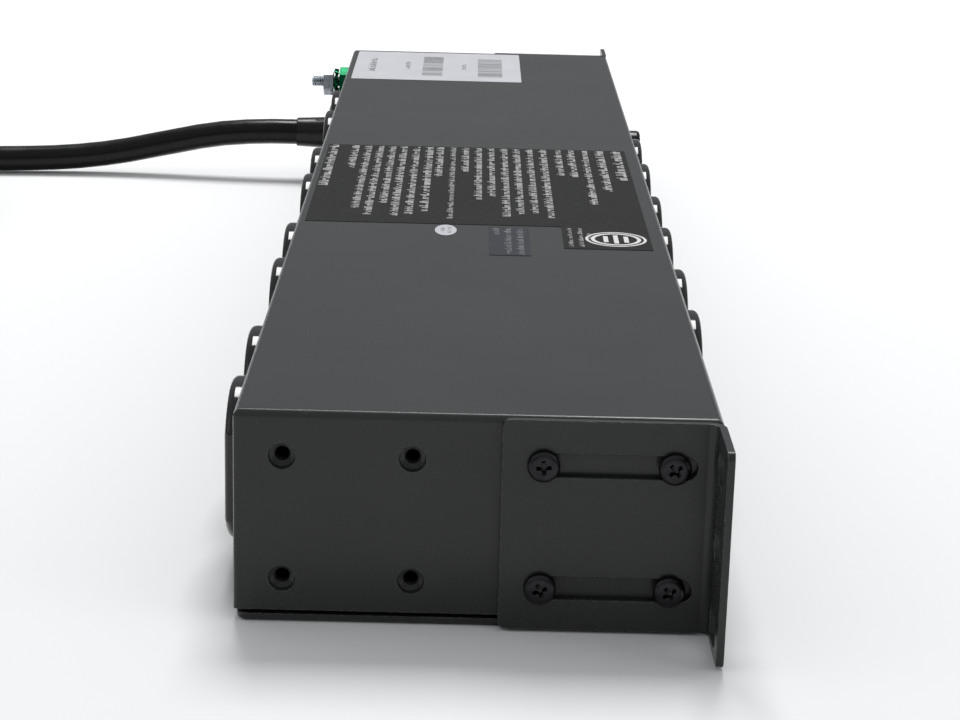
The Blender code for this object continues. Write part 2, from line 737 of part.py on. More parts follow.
# The cord's centreline from the strain relief to the coil.
LEAD_ROUTE = [
    (0.196, 0.067, 0.0172),
    (0.1962, 0.082, 0.0169),
    (0.1968, 0.098, 0.0152),
    (0.1972, 0.116, 0.0114),
    (0.1968, 0.134, 0.0077),
    (0.1955, 0.152, 0.0057),
    (0.1938, 0.172, 0.005),
    (0.192, 0.194, 0.005),
    (0.1905, 0.21, 0.0053),
    (0.19, 0.225, 0.0058),
]

# The centreline from the coil to the plug, as radius, angle and height beside the coil.
TAIL_ROUTE = [
    (0.0758, 119.6, 0.0335),
    (0.079, 131, 0.0295),
    (0.0825, 143, 0.0235),
    (0.0854, 155, 0.0175),
    (0.0873, 167, 0.0138),
    (0.0879, 179.6, 0.0126),
]


def make_strain_relief():
    """The snap-in relief: a barrel through the panel, a round head and a tapered tail."""
    frame = facing((RELIEF_X, HALF_DEPTH, RELIEF_Z), REAR)
    bore = CORD_RADIUS + GAP
    tail = RELIEF_TAIL - HALF_DEPTH
    neck = RELIEF_NECK - GAP
    profile = [(bore, tail), (0.0049, tail), (0.0053, 0.0085), (0.0062, 0.0072)]
    profile += [(0.0095, 0.0071), (0.0108, 0.0063), (0.0114, 0.0048), (0.0115, GAP)]
    profile += [(neck, GAP), (neck, -0.0085), (bore, -0.0085)]
    turned(profile, "cord_strain_relief", "black_plastic", frame, segments=24, closed=True)


def make_cord():
    """The lead, the coil, the tail and the tie round the coil."""
    spacing = 2.2 * 2 * CORD_RADIUS
    tube("cord_lead", "cord_jacket", LEAD_ROUTE, CORD_RADIUS, spacing)
    tail_points = [around_coil(*step) for step in TAIL_ROUTE]
    tube("cord_tail", "cord_jacket", tail_points, CORD_RADIUS, spacing)
    edge = 0.003
    profile = [(COIL_OUTER - edge, COIL_TOP), (COIL_OUTER, COIL_TOP - edge)]
    profile += [(COIL_OUTER, COIL_FLOOR + edge), (COIL_OUTER - edge, COIL_FLOOR)]
    profile += [(COIL_INNER + edge, COIL_FLOOR), (COIL_INNER, COIL_FLOOR + edge)]
    profile += [(COIL_INNER, COIL_TOP - edge), (COIL_INNER + edge, COIL_TOP)]
    frame = Matrix.Translation(COIL_CENTRE)
    turned(profile, "cord_coil", "cord_jacket", frame, segments=36, closed=True)
    outer = [
        COIL_OUTER + GAP + TIE,
        COIL_INNER - 3 * GAP - TIE,
        COIL_TOP + GAP + TIE,
        COIL_FLOOR - GAP - TIE,
    ]
    half_width = TIE_WIDTH / 2
    band = block((-half_width, -outer[0], outer[3]), (half_width, -outer[1], outer[2]))
    tie = solid(band, "cord_tie", "black_plastic", frame)
    inside = block(
        (-2 * half_width, -outer[0] + TIE, outer[3] + TIE),
        (2 * half_width, -outer[1] - TIE, outer[2] - TIE),
    )
    combine(tie, [solid(inside, frame=frame)], "DIFFERENCE")


def make_plug():
    """The three-pin plug at the cord's end, lying on the floor, blades forward."""
    frame = along(PLUG_REAR, FRONT)
    grip = block((-0.0125, -0.0123, 0.013), (0.0125, 0.0123, 0.038))
    round_edges(grip, lambda a, b: True, 0.003, segments=2)
    body = solid(grip, "plug_body", "black_plastic", frame)
    sleeve = [(0, 0.016), (0.0105, 0.016), (0.0082, 0.009), (0.0066, 0.001), (0.006, GAP)]
    sleeve += [(0, GAP)]
    combine(body, [turned(sleeve, frame=frame, segments=20)], "UNION")
    face = 0.038 + GAP
    for name, x in (("plug_blade_line", -BLADE_HALF_PITCH), ("plug_blade_neutral", BLADE_HALF_PITCH)):
        blade = block((x - 0.00075, 0.001, face), (x + 0.00075, 0.0074, face + 0.0175))
        solid(blade, name, "brass", frame)
    pin = [(0, 0.0207), (0.0015, 0.0205), (0.0024, 0.0185), (0.0024, 0), (0, 0)]
    spot = frame @ Matrix.Translation((0, -0.0075, face))
    turned(pin, "plug_ground_pin", "brass", spot, segments=12)


# --- inside -----------------------------------------------------------------------------------


def make_surge_parts():
    """The surge board on four posts with three varistors, a choke and a thermal fuse."""
    size = Vector(BOARD_SIZE)
    board = solid(
        block(BOARD_CENTRE - size / 2, BOARD_CENTRE + size / 2), "surge_board", "circuit_board"
    )
    posts = []
    for x in (-1, 1):
        for y in (-1, 1):
            spot = BOARD_CENTRE + Vector((x * (size.x / 2 - 0.004), y * (size.y / 2 - 0.004), 0))
            post = rod(0.0022, COVER_SHEET + GAP - BOARD_CENTRE.z, 0, 10)
            posts.append(solid(post, frame=Matrix.Translation(spot)))
    combine(board, posts, "UNION")
    top = BOARD_CENTRE.z + size.z / 2 + GAP
    for number in range(3):
        spot = (BOARD_CENTRE.x - 0.027 + 0.011 * number, BOARD_CENTRE.y + 0.001, top + 0.0072)
        disc = rod(0.0072, -0.0024, 0.0024, 20)
        round_edges(disc, lambda a, b: abs(a.z - b.z) < 1e-6, 0.0008, segments=1)
        solid(disc, f"varistor_{number + 1}", "varistor_blue", along(Vector(spot), RIGHT))
    ring = arc((0.0078, 0.0045), 0.0036, 90, -270, 8)[:-1]
    frame = Matrix.Translation((BOARD_CENTRE.x + 0.016, BOARD_CENTRE.y, top - 0.0009))
    turned(ring, "filter_choke", "ferrite", frame, segments=18, closed=True)
    spot = Vector((BOARD_CENTRE.x + 0.0325, BOARD_CENTRE.y - 0.006, top + 0.002))
    solid(rod(0.002, 0, 0.012, 12), "thermal_fuse", "bright_steel", along(spot, REAR))


# Each conductor's name, finish, offsets (x, z) where it leaves the relief and where it spreads
# out, and height above the middle one along the case.
CONDUCTORS = (
    ("wire_line", "cord_jacket", (-0.0019, -0.0011), (-0.0022, 0.0002), 0),
    ("wire_neutral", "wire_white", (0.0019, -0.0011), (0.0018, -0.0034), -0.0042),
    ("wire_ground", "wire_green", (0, 0.0022), (0.0003, 0.004), 0.0042),
)


def make_wires():
    """The three supply conductors, from the strain relief along the middle of the case."""
    inner_end = HALF_DEPTH - 0.0085 - GAP
    for name, kind, leave, spread, lift in CONDUCTORS:
        height = 0.0262 + lift
        points = [
            (RELIEF_X + leave[0], inner_end, RELIEF_Z + leave[1]),
            (RELIEF_X + spread[0], 0.0315, 0.0205 + spread[1]),
            (0.191 + spread[0] / 2, 0.0225, height - 0.0008),
            (0.177, 0.0175, height),
            (0.155, 0.0165, height),
            (0, 0.0165, height),
            (-0.2, 0.0165, height),
        ]
        tube(name, kind, points, WIRE_RADIUS, WIRE_SPACING)


def build():
    """Makes every part of the strip."""
    make_bottom_cover()
    make_cover_screws()
    make_ear("ear_left", -1)
    make_ear("ear_right", 1)
    make_ear_screws("ear_screw_left", -1, (5, 38, 22, 35))
    make_ear_screws("ear_screw_right", 1, (17, 61, 48, 9))
    make_receptacles()
    make_switch()
    make_breaker()
    make_lenses()
    make_ground_stud()
    make_strain_relief()
    make_cord()
    make_plug()
    make_surge_parts()
    make_wires()
    make_top_shell()


build()
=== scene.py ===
"""The looks of the rack power strip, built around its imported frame.

The folded sheet parts are copies of their CAD nodes with slightly rounded edges. The inner parts
keep their CAD nodes, under better materials. Screws, receptacles, controls, the ground stud, the
strain relief, the cord and the plug are finer pieces that stand for their CAD nodes. The labels,
the brass contacts and the threads in the open holes are new pieces.

All sizes are in metres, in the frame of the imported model: +X runs along the case, the front
panel faces -Y, the rear panel faces +Y and +Z is up.
"""

import math
import random

import bmesh
import bpy
import numpy as np
from mathutils import Matrix, Vector


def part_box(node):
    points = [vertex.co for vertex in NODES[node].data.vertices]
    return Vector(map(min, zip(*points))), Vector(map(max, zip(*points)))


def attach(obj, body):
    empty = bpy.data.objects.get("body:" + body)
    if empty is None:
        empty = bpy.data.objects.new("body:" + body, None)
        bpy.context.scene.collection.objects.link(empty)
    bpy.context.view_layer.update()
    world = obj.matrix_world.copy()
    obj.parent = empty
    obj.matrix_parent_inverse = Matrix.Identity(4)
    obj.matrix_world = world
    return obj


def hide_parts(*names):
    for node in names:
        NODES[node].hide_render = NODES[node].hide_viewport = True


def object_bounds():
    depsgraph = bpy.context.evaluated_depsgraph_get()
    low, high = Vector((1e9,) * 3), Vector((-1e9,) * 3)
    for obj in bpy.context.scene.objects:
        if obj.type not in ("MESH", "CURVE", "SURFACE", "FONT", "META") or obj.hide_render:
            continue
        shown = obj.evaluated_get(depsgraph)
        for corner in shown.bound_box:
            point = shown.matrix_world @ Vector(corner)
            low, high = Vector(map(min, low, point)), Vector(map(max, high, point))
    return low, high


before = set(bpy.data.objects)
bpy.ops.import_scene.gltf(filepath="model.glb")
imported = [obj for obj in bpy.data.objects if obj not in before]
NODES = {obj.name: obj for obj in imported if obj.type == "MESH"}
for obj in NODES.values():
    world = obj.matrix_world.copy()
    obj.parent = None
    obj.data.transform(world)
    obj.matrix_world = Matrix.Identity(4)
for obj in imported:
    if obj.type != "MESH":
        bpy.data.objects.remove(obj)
CAD_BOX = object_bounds()

# The case, from its CAD box.
CASE_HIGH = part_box("top_shell")[1]
TOP = CASE_HIGH.z
MIDDLE = TOP / 2
HALF_LENGTH = CASE_HIGH.x
HALF_DEPTH = CASE_HIGH.y
HOLE_GRID = 0.0254

# The camera that was fitted to the photo. Its turns are in degrees, about Z, X and its own axis.
FOCAL_LENGTH = 87.22
CAMERA_SPOT = (-0.64916, 0.00321, 0.18148)
CAMERA_HEADING = -90.411
CAMERA_TIP = 90 - 16.492
CAMERA_ROLL = 1.523
FLOOR_REACH = 12
FLOOR_DROP = 0.0002

# Receptacle faces.
FACE_RADIUS = 0.01706
FACE_FLAT = 0.0143
FACE_PITCH = 0.0389
FACE_PROUD = 0.004
FACE_RIM = 0.0015
RIM_STEPS = 7
SHOULDER = -0.003325
BODY_BACK = -0.024325
BLADE_HALF_PITCH = 0.00635
BLADE_OFFSET = 0.0044
GROUND_OFFSET = -0.0075
SLOT_WIDTH = 0.0023
SLOT_DEPTH = 0.0148

# Supply cord.
CORD_RADIUS = 0.00455
COIL_CENTRE = Vector((0.1239, 0.262, 0))
COIL_OUTER_LINE = 0.0661
COIL_FIRST_LINE = 0.0058
TURN_STEP = 0.0094
COLUMNS = 4
LAYERS = 4
RISE_ANGLE = math.radians(140)
PLUG_REAR = Vector((0.036, 0.262, 0.0126))
ROUTE_SPACING = 0.009

# The rise of an ear screw's head, and how far each screw is turned in degrees.
HEAD_RISE = 0.0015
EAR_SCREW_ANGLES = {"left": (5, 38, 22, 35), "right": (17, 61, 48, 9)}

# Label films and their print.
LABEL_LIFT = 0.00002
LABEL_THICK = 0.00008
INK_THICK = 0.00002
PRINT_LEVEL = TOP + 0.0001

FRONT = Vector((0, -1, 0))
REAR = Vector((0, 1, 0))
RIGHT = Vector((1, 0, 0))
UP = Vector((0, 0, 1))
OUTLET_ROWS = (("rear", REAR, 4), ("front", FRONT, 3))


# The inputs of a Map Range node, in the order that the calls give their numbers.
RANGE_SOCKETS = ("From Min", "From Max", "To Min", "To Max")

# --- camera, floor and light ------------------------------------------------------------------


def make_camera():
    """The camera, beyond the left end and a little above it, looking along the case."""
    lens = bpy.data.cameras.new("camera")
    lens.lens = FOCAL_LENGTH
    lens.sensor_width = 36
    lens.clip_start = 0.01
    lens.clip_end = 50
    made = bpy.data.objects.new("camera", lens)
    heading = Matrix.Rotation(math.radians(CAMERA_HEADING), 4, "Z")
    tip = Matrix.Rotation(math.radians(CAMERA_TIP), 4, "X")
    roll = Matrix.Rotation(math.radians(CAMERA_ROLL), 4, "Z")
    made.matrix_world = Matrix.Translation(CAMERA_SPOT) @ heading @ tip @ roll
    bpy.context.scene.collection.objects.link(made)
    bpy.context.scene.camera = made


def area_light(name, spot, target, size, energy):
    """A rectangular soft light that faces a target."""
    lamp = bpy.data.lights.new(name, "AREA")
    lamp.shape = "RECTANGLE"
    lamp.size, lamp.size_y = size
    lamp.energy = energy
    made = bpy.data.objects.new(name, lamp)
    aim = (Vector(target) - Vector(spot)).to_track_quat("-Z", "Y")
    made.matrix_world = Matrix.Translation(spot) @ aim.to_matrix().to_4x4()
    bpy.context.scene.collection.objects.link(made)


def make_studio():
    """A pale floor, a soft world that is dimmer at the horizon, and three softboxes."""
    scene = bpy.context.scene
    scene.view_settings.view_transform = "Standard"
    world = bpy.data.worlds.new("studio")
    world.use_nodes = True
    backdrop = world.node_tree.nodes["Background"]
    backdrop.inputs["Color"].default_value = (0.95, 0.97, 1, 1)
    nodes, links = world.node_tree.nodes, world.node_tree.links
    split = nodes.new("ShaderNodeSeparateXYZ")
    links.new(nodes.new("ShaderNodeTexCoord").outputs["Generated"], split.inputs[0])
    rise = nodes.new("ShaderNodeMapRange")
    links.new(split.outputs["Z"], rise.inputs["Value"])
    for socket, number in zip(RANGE_SOCKETS, (0.12, 0.55, 0.24, 0.5)):
        rise.inputs[socket].default_value = number
    links.new(rise.outputs["Result"], backdrop.inputs["Strength"])
    scene.world = world
    area_light("softbox_top", (0.85, 0, 1.65), (0, 0, 0.03), (0.66, 0.72), 24)
    area_light("softbox_left", (-0.4, 1.3, 0.8), (0, 0, 0), (0.8, 0.8), 1.0)
    area_light("softbox_right", (-0.5, -1.3, 0.8), (0, 0, 0), (0.8, 0.8), 1.4)
    floor = bpy.data.meshes.new("floor")
    signs = ((-1, -1), (1, -1), (1, 1), (-1, 1))
    corners = [(x * FLOOR_REACH, y * FLOOR_REACH, 0) for x, y in signs]
    floor.from_pydata(corners, [], [(0, 1, 2, 3)])
    look = Look("floor_paper", (0.94, 0.94, 0.94), 0.8)
    look.set("Specular IOR Level", 0.1)
    floor.materials.append(look.material)
    made = bpy.data.objects.new("floor", floor)
    made.location.z = min(0, CAD_BOX[0].z) - FLOOR_DROP
    scene.collection.objects.link(made)


# --- materials --------------------------------------------------------------------------------


class Look:
    """A Principled material with short calls for its procedural nodes."""

    def __init__(self, name, colour, roughness, metallic=0.0):
        self.material = bpy.data.materials.new(name)
        self.material.use_nodes = True
        self.tree = self.material.node_tree
        self.shader = self.tree.nodes["Principled BSDF"]
        self.colour = colour
        self.roughness = roughness
        self.shader.inputs["Base Color"].default_value = (*colour, 1)
        self.shader.inputs["Roughness"].default_value = roughness
        self.shader.inputs["Metallic"].default_value = metallic
        self.place = self.node("ShaderNodeTexCoord").outputs["Object"]

    def set(self, socket, value):
        """Sets one of the shader's own sockets."""
        self.shader.inputs[socket].default_value = value

    def node(self, kind, **settings):
        """Adds a node with its settings."""
        made = self.tree.nodes.new(kind)
        for key, value in settings.items():
            setattr(made, key, value)
        return made

    def join(self, output, node, socket):
        """Links an output to a node's socket."""
        self.tree.links.new(output, node.inputs[socket])

    def stretched(self, scale):
        """Object coordinates scaled by axis, for brushed or drawn grain."""
        made = self.node("ShaderNodeMapping")
        made.inputs["Scale"].default_value = scale
        self.join(self.place, made, "Vector")
        return made.outputs["Vector"]

    def noise(self, scale, detail=2.0, place=None):
        """Noise from 0 to 1, with features about one part in scale of a metre."""
        made = self.node("ShaderNodeTexNoise")
        made.inputs["Scale"].default_value = scale
        made.inputs["Detail"].default_value = detail
        self.join(place or self.place, made, "Vector")
        return made.outputs["Fac"]

    def fit(self, value, source, result):
        """A value mapped from one range to another, clamped."""
        made = self.node("ShaderNodeMapRange")
        self.join(value, made, "Value")
        for socket, number in zip(RANGE_SOCKETS, (*source, *result)):
            made.inputs[socket].default_value = number
        return made.outputs["Result"]

    def maths(self, operation, first, second):
        """Two values combined."""
        made = self.node("ShaderNodeMath", operation=operation)
        self.join(first, made, 0)
        if isinstance(second, (int, float)):
            made.inputs[1].default_value = second
        else:
            self.join(second, made, 1)
        return made.outputs[0]

    def blend(self, share, first, second):
        """Two colours mixed by a share. Each is a plain colour or another output."""
        made = self.node("ShaderNodeMix", data_type="RGBA")
        self.join(share, made, 0)
        for socket, colour in ((6, first), (7, second)):
            if isinstance(colour, tuple):
                made.inputs[socket].default_value = (*colour, 1)
            else:
                self.join(colour, made, socket)
        return made.outputs[2]

    def shade(self, factor):
        """The look's own colour, made lighter or darker."""
        return tuple(min(1, c * factor) for c in self.colour)

    def edges(self, radius, broken=900):
        """A mask that is 1 along outside edges, broken up by noise."""
        rounded = self.node("ShaderNodeBevel", samples=4)
        rounded.inputs["Radius"].default_value = radius
        true = self.node("ShaderNodeNewGeometry")
        dot = self.node("ShaderNodeVectorMath", operation="DOT_PRODUCT")
        self.join(rounded.outputs["Normal"], dot, 0)
        self.join(true.outputs["Normal"], dot, 1)
        near = self.fit(dot.outputs["Value"], (0.97, 0.8), (0, 1))
        patchy = self.fit(self.noise(broken, 3), (0.42, 0.62), (0, 1))
        return self.maths("MULTIPLY", near, patchy)

    def bump(self, height, strength, distance):
        """Bump from a height, added to what the shader already has."""
        made = self.node("ShaderNodeBump")
        made.inputs["Strength"].default_value = strength
        made.inputs["Distance"].default_value = distance
        self.join(height, made, "Height")
        taken = self.shader.inputs["Normal"].links
        if taken:
            self.join(taken[0].from_socket, made, "Normal")
        self.join(made.outputs["Normal"], self.shader, "Normal")
        return self

    def vary(self, noise, spread):
        """Roughness that follows a noise, a spread up or down."""
        span = (max(0.02, self.roughness - spread), min(1, self.roughness + spread))
        self.join(self.fit(noise, (0.3, 0.7), span), self.shader, "Roughness")
        return self

    def paint(self, colour):
        """Uses a colour output as the base colour."""
        self.join(colour, self.shader, "Base Color")
        return self


def powder_coat(name, colour, roughness, wear):
    """Fine-textured powder coat: orange peel, mottling, dust and rubbed edges."""
    look = Look(name, colour, roughness)
    look.set("Specular IOR Level", 0.3)
    peel = look.noise(1300, 3)
    grit = look.noise(3600, 1)
    mottle = look.noise(38, 5)
    base = look.blend(look.fit(mottle, (0.3, 0.7), (0, 1)), look.shade(0.9), look.shade(1.1))
    base = look.blend(look.fit(grit, (0.56, 0.72), (0, 0.35)), base, look.shade(1.7))
    dust = look.fit(look.noise(520, 2), (0.7, 0.78), (0, 0.35))
    base = look.blend(dust, base, look.shade(2.2))
    rubbed = look.maths("MULTIPLY", look.edges(0.0005), wear)
    look.paint(look.blend(rubbed, base, (0.2, 0.205, 0.21)))
    smudges = look.noise(16, 4)
    grain = look.maths("MULTIPLY", grit, 0.35)
    look.vary(look.maths("ADD", grain, look.maths("MULTIPLY", smudges, 0.65)), 0.05)
    look.bump(peel, 0.1, 0.00006)
    return look.bump(grit, 0.05, 0.00003)


def moulded(name, colour, roughness, grain=2200, relief=0.06, shine=0.5):
    """A moulded plastic: faint grain, flow variation and rubbed edges."""
    look = Look(name, colour, roughness)
    look.set("Specular IOR Level", shine)
    flow = look.fit(look.noise(45, 4), (0.3, 0.7), (0, 1))
    base = look.blend(flow, look.shade(0.85), look.shade(1.2))
    worn = look.maths("MULTIPLY", look.edges(0.0003, 700), 0.3)
    look.paint(look.blend(worn, base, look.shade(2.6)))
    look.vary(look.noise(90, 4), roughness * 0.3)
    return look.bump(look.noise(grain, 2), relief, 0.00003)


def plated(name, colour, roughness, tint=0.12):
    """Plated steel: drawn grain, cloudy plating and brighter corners."""
    look = Look(name, colour, roughness, 1.0)
    drawn = look.noise(1, 3, look.stretched((260, 260, 2600)))
    cloud = look.fit(look.noise(420, 4), (0.35, 0.65), (0, 1))
    base = look.blend(cloud, look.shade(1 - 2 * tint), look.shade(1 + tint))
    worn = look.maths("MULTIPLY", look.edges(0.00025, 1500), 0.5)
    look.paint(look.blend(worn, base, look.shade(1.5)))
    look.vary(drawn, 0.1)
    return look.bump(drawn, 0.08, 0.00002)


def jacket(name, colour, roughness, shine=0.5):
    """Extruded cord jacket: satin skin with slow waviness and scuffs."""
    look = Look(name, colour, roughness)
    look.set("Specular IOR Level", shine)
    skin = look.noise(1900, 2)
    scuffs = look.fit(look.noise(240, 5), (0.58, 0.75), (0, 0.5))
    look.paint(look.blend(scuffs, look.colour, look.shade(2.4)))
    look.vary(look.noise(120, 4), 0.09)
    look.bump(look.noise(160, 2), 0.1, 0.0002)
    return look.bump(skin, 0.08, 0.00003)


def film(name, colour, roughness):
    """A printed adhesive film: matt, with a fine tooth and faint ripples."""
    look = Look(name, colour, roughness)
    look.set("Specular IOR Level", 0.12)
    cloud = look.fit(look.noise(70, 3), (0.3, 0.7), (0, 1))
    look.paint(look.blend(cloud, look.shade(0.96), look.shade(1.04)))
    look.vary(look.noise(900, 2), 0.05)
    return look.bump(look.noise(210, 2), 0.06, 0.0001)


def ink(name, colour):
    """Printed ink, with thin spots."""
    look = Look(name, colour, 0.5)
    thin = look.fit(look.noise(2600, 2), (0.35, 0.7), (0, 1))
    return look.paint(look.blend(thin, look.shade(0.85), look.shade(1.1)))


def make_looks():
    """Every material, by name."""
    looks = {
        "paint": powder_coat("powder_coat_case", (0.0243, 0.0251, 0.0251), 0.25, 0.45),
        "ear_paint": powder_coat("powder_coat_ear", (0.0243, 0.0252, 0.0251), 0.25, 0.6),
        "dark_screw": plated("black_zinc", (0.032, 0.032, 0.034), 0.3),
        "outlet": moulded("outlet_thermoplastic", (0.005, 0.005, 0.0055), 0.09, 1500, 0.02, 0.46),
        "zinc": plated("bright_zinc", (0.42, 0.46, 0.5), 0.3),
        "green": plated("green_zinc", (0.004, 0.12, 0.048), 0.36, tint=0.15),
        "plastic": moulded("black_nylon", (0.005, 0.005, 0.0055), 0.26, shine=0.3),
        "plug_plastic": moulded("plug_vinyl", (0.018, 0.018, 0.018), 0.44, 1700, 0.1),
        "jacket": jacket("cord_vinyl", (0.003, 0.003, 0.0032), 0.26, 0.22),
        "brass": plated("rolled_brass", (0.72, 0.5, 0.2), 0.26),
        "white_film": film("white_label_film", (0.56, 0.565, 0.595), 0.45),
        "dark_film": film("dark_label_film", (0.0165, 0.0168, 0.016), 0.7),
        "slate_film": film("slate_label_film", (0.032, 0.035, 0.044), 0.5),
        "light_ink": ink("light_ink", (0.58, 0.58, 0.57)),
        "dark_ink": ink("dark_ink", (0.2, 0.2, 0.21)),
        "mark_ink": ink("mark_ink", (0.75, 0.75, 0.74)),
        "fabric": woven("tie_fabric", (0.014, 0.014, 0.015)),
        "board": moulded("solder_mask", (0.02, 0.12, 0.05), 0.4),
        "epoxy": moulded("varistor_epoxy", (0.03, 0.1, 0.4), 0.35),
        "winding": moulded("choke_winding", (0.04, 0.04, 0.045), 0.5),
        "white_wire": jacket("white_insulation", (0.7, 0.7, 0.68), 0.45),
        "green_wire": jacket("green_insulation", (0.03, 0.35, 0.08), 0.45),
        "green_lens": lens("green_lens", (0.02, 0.42, 0.1)),
        "amber_lens": lens("amber_lens", (0.75, 0.3, 0.02)),
    }
    return {key: look.material for key, look in looks.items()}


def woven(name, colour):
    """Hook-and-loop strap: a fine rib with a soft sheen."""
    look = Look(name, colour, 0.85)
    look.set("Sheen Weight", 0.3)
    rib = look.noise(1, 2, look.stretched((900, 5200, 5200)))
    look.paint(look.blend(look.fit(rib, (0.35, 0.65), (0, 1)), look.shade(0.6), look.shade(1.9)))
    return look.bump(rib, 0.5, 0.00012)


def lens(name, colour):
    """A clear coloured indicator lens."""
    look = Look(name, colour, 0.1)
    look.set("Transmission Weight", 0.35)
    look.set("Coat Weight", 0.5)
    cloud = look.fit(look.noise(600, 2), (0.3, 0.7), (0, 1))
    look.paint(look.blend(cloud, look.shade(0.8), look.shade(1.15)))
    return look.bump(look.noise(900, 1), 0.03, 0.00005)


# --- mesh helpers -----------------------------------------------------------------------------


def facing(point, outward):
    """A frame at a point with local +Z along outward and local +Y up."""
    turn = Matrix((UP.cross(outward), UP, outward)).transposed().to_4x4()
    return Matrix.Translation(point) @ turn


def middle(node):
    """The middle of a CAD node's box."""
    low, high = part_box(node)
    return (low + high) / 2


def on_panel(node, outward, height=MIDDLE):
    """A frame on the front or rear panel, level with a CAD node along the case."""
    return facing((middle(node).x, outward.y * HALF_DEPTH, height), outward)


def value_at(item, angle):
    """A number, or what a function of the angle gives."""
    return item(angle) if callable(item) else item


def lathe(rows, segments=48, closed=False):
    """A bmesh turned about Z. Each row is a radius and a height, or functions of the angle."""
    mesh = bmesh.new()
    angles = [2 * math.pi * k / segments for k in range(segments)]
    rings = []
    for radius, height in rows:
        if not callable(radius) and radius < 1e-7:
            rings.append([mesh.verts.new((0, 0, value_at(height, 0)))])
            continue
        ring = []
        for a in angles:
            r = value_at(radius, a)
            ring.append(mesh.verts.new((r * math.cos(a), r * math.sin(a), value_at(height, a))))
        rings.append(ring)
    pairs = list(zip(rings, rings[1:]))
    if closed:
        pairs.append((rings[-1], rings[0]))
    for low, high in pairs:
        for k in range(segments):
            n = (k + 1) % segments
            sides = ((low, k), (low, n), (high, n), (high, k))
            unique = list(dict.fromkeys(ring[at % len(ring)] for ring, at in sides))
            if len(unique) > 2:
                mesh.faces.new(unique)
    return mesh


def block(low, high, rounding=0.0, segments=2):
    """A bmesh box between two corners, with all its edges rounded."""
    low, high = Vector(low), Vector(high)
    mesh = bmesh.new()
    bmesh.ops.create_cube(mesh, size=1)
    bmesh.ops.scale(mesh, vec=high - low, verts=mesh.verts)
    bmesh.ops.translate(mesh, vec=(low + high) / 2, verts=mesh.verts)
    if rounding:
        round_edges(mesh, lambda a, b: True, rounding, segments)
    return mesh


def round_edges(mesh, chosen, radius, segments=3):
    """Bevels the edges that the test picks from their two ends."""
    edges = [e for e in mesh.edges if chosen(e.verts[0].co, e.verts[1].co)]
    bmesh.ops.bevel(
        mesh, geom=edges, offset=radius, segments=segments, profile=0.5, affect="EDGES"
    )
    return mesh


def prism(outline, low, high):
    """A bmesh prism over an outline in XY."""
    mesh = bmesh.new()
    bottom = [mesh.verts.new((x, y, low)) for x, y in outline]
    top = [mesh.verts.new((x, y, high)) for x, y in outline]
    mesh.faces.new(list(reversed(bottom)))
    mesh.faces.new(top)
    for k, start in enumerate(bottom):
        n = (k + 1) % len(bottom)
        mesh.faces.new((start, bottom[n], top[n], top[k]))
    return mesh


def loft(rings):
    """A closed bmesh through rings of points, one above the other, capped at both ends."""
    mesh = bmesh.new()
    loops = [[mesh.verts.new(point) for point in ring] for ring in rings]
    mesh.faces.new(list(reversed(loops[0])))
    mesh.faces.new(loops[-1])
    for low, high in zip(loops, loops[1:]):
        for k, start in enumerate(low):
            n = (k + 1) % len(low)
            mesh.faces.new((start, low[n], high[n], high[k]))
    return mesh


def arc(centre, radius, start, end, steps):
    """Points along an arc, angles in degrees, both ends included."""
    angles = [math.radians(start + (end - start) * i / steps) for i in range(steps + 1)]
    return [(centre[0] + radius * math.cos(a), centre[1] + radius * math.sin(a)) for a in angles]


def moved(mesh, matrix):
    """The bmesh moved by a matrix."""
    bmesh.ops.transform(mesh, matrix=matrix, verts=mesh.verts)
    return mesh


def joined(meshes):
    """Several bmeshes as one, side by side."""
    whole = bmesh.new()
    for mesh in meshes:
        data = bpy.data.meshes.new("part")
        mesh.to_mesh(data)
        mesh.free()
        whole.from_mesh(data)
        bpy.data.meshes.remove(data)
    return whole


def loose(mesh):
    """A plain object from a bmesh, to be used up by carve."""
    bmesh.ops.recalc_face_normals(mesh, faces=mesh.faces)
    data = bpy.data.meshes.new("tool")
    mesh.to_mesh(data)
    mesh.free()
    return bpy.data.objects.new("tool", data)


def carve(base, tools, operation="DIFFERENCE"):
    """The base with the tools cut away or joined on, as a new bmesh."""
    target = loose(base)
    group = bpy.data.collections.new("tools")
    bpy.context.scene.collection.children.link(group)
    bpy.context.scene.collection.objects.link(target)
    used = [loose(tool) for tool in tools]
    for tool in used:
        group.objects.link(tool)
    step = target.modifiers.new("carve", "BOOLEAN")
    step.operand_type = "COLLECTION"
    step.collection = group
    step.operation = operation
    step.solver = "EXACT"
    depsgraph = bpy.context.evaluated_depsgraph_get()
    data = bpy.data.meshes.new_from_object(target.evaluated_get(depsgraph))
    result = bmesh.new()
    result.from_mesh(data)
    bpy.data.meshes.remove(data)
    for item in (target, *used):
        bpy.data.objects.remove(item)
    bpy.data.collections.remove(group)
    return result


def mesh_data(name, mesh, look, corner=32):
    """A mesh datablock with its material, smooth except at real corners."""
    bmesh.ops.recalc_face_normals(mesh, faces=mesh.faces)
    data = bpy.data.meshes.new(name)
    mesh.to_mesh(data)
    mesh.free()
    data.materials.append(LOOKS[look])
    data.shade_smooth()
    data.set_sharp_from_angle(angle=math.radians(corner))
    return data


def weigh_normals(made):
    """Keeps flat faces flat where they meet rounded edges."""
    step = made.modifiers.new("normals", "WEIGHTED_NORMAL")
    step.weight = 100
    step.keep_sharp = True


def piece(name, data, place=None, body="strip", stands_for=()):
    """A piece that rides on a body and may stand for CAD nodes."""
    made = bpy.data.objects.new(name, data)
    bpy.context.scene.collection.objects.link(made)
    if isinstance(data, bpy.types.Mesh):
        weigh_normals(made)
    if place is not None:
        made.matrix_world = place
    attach(made, body)
    if stands_for:
        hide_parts(*stands_for)
    return made


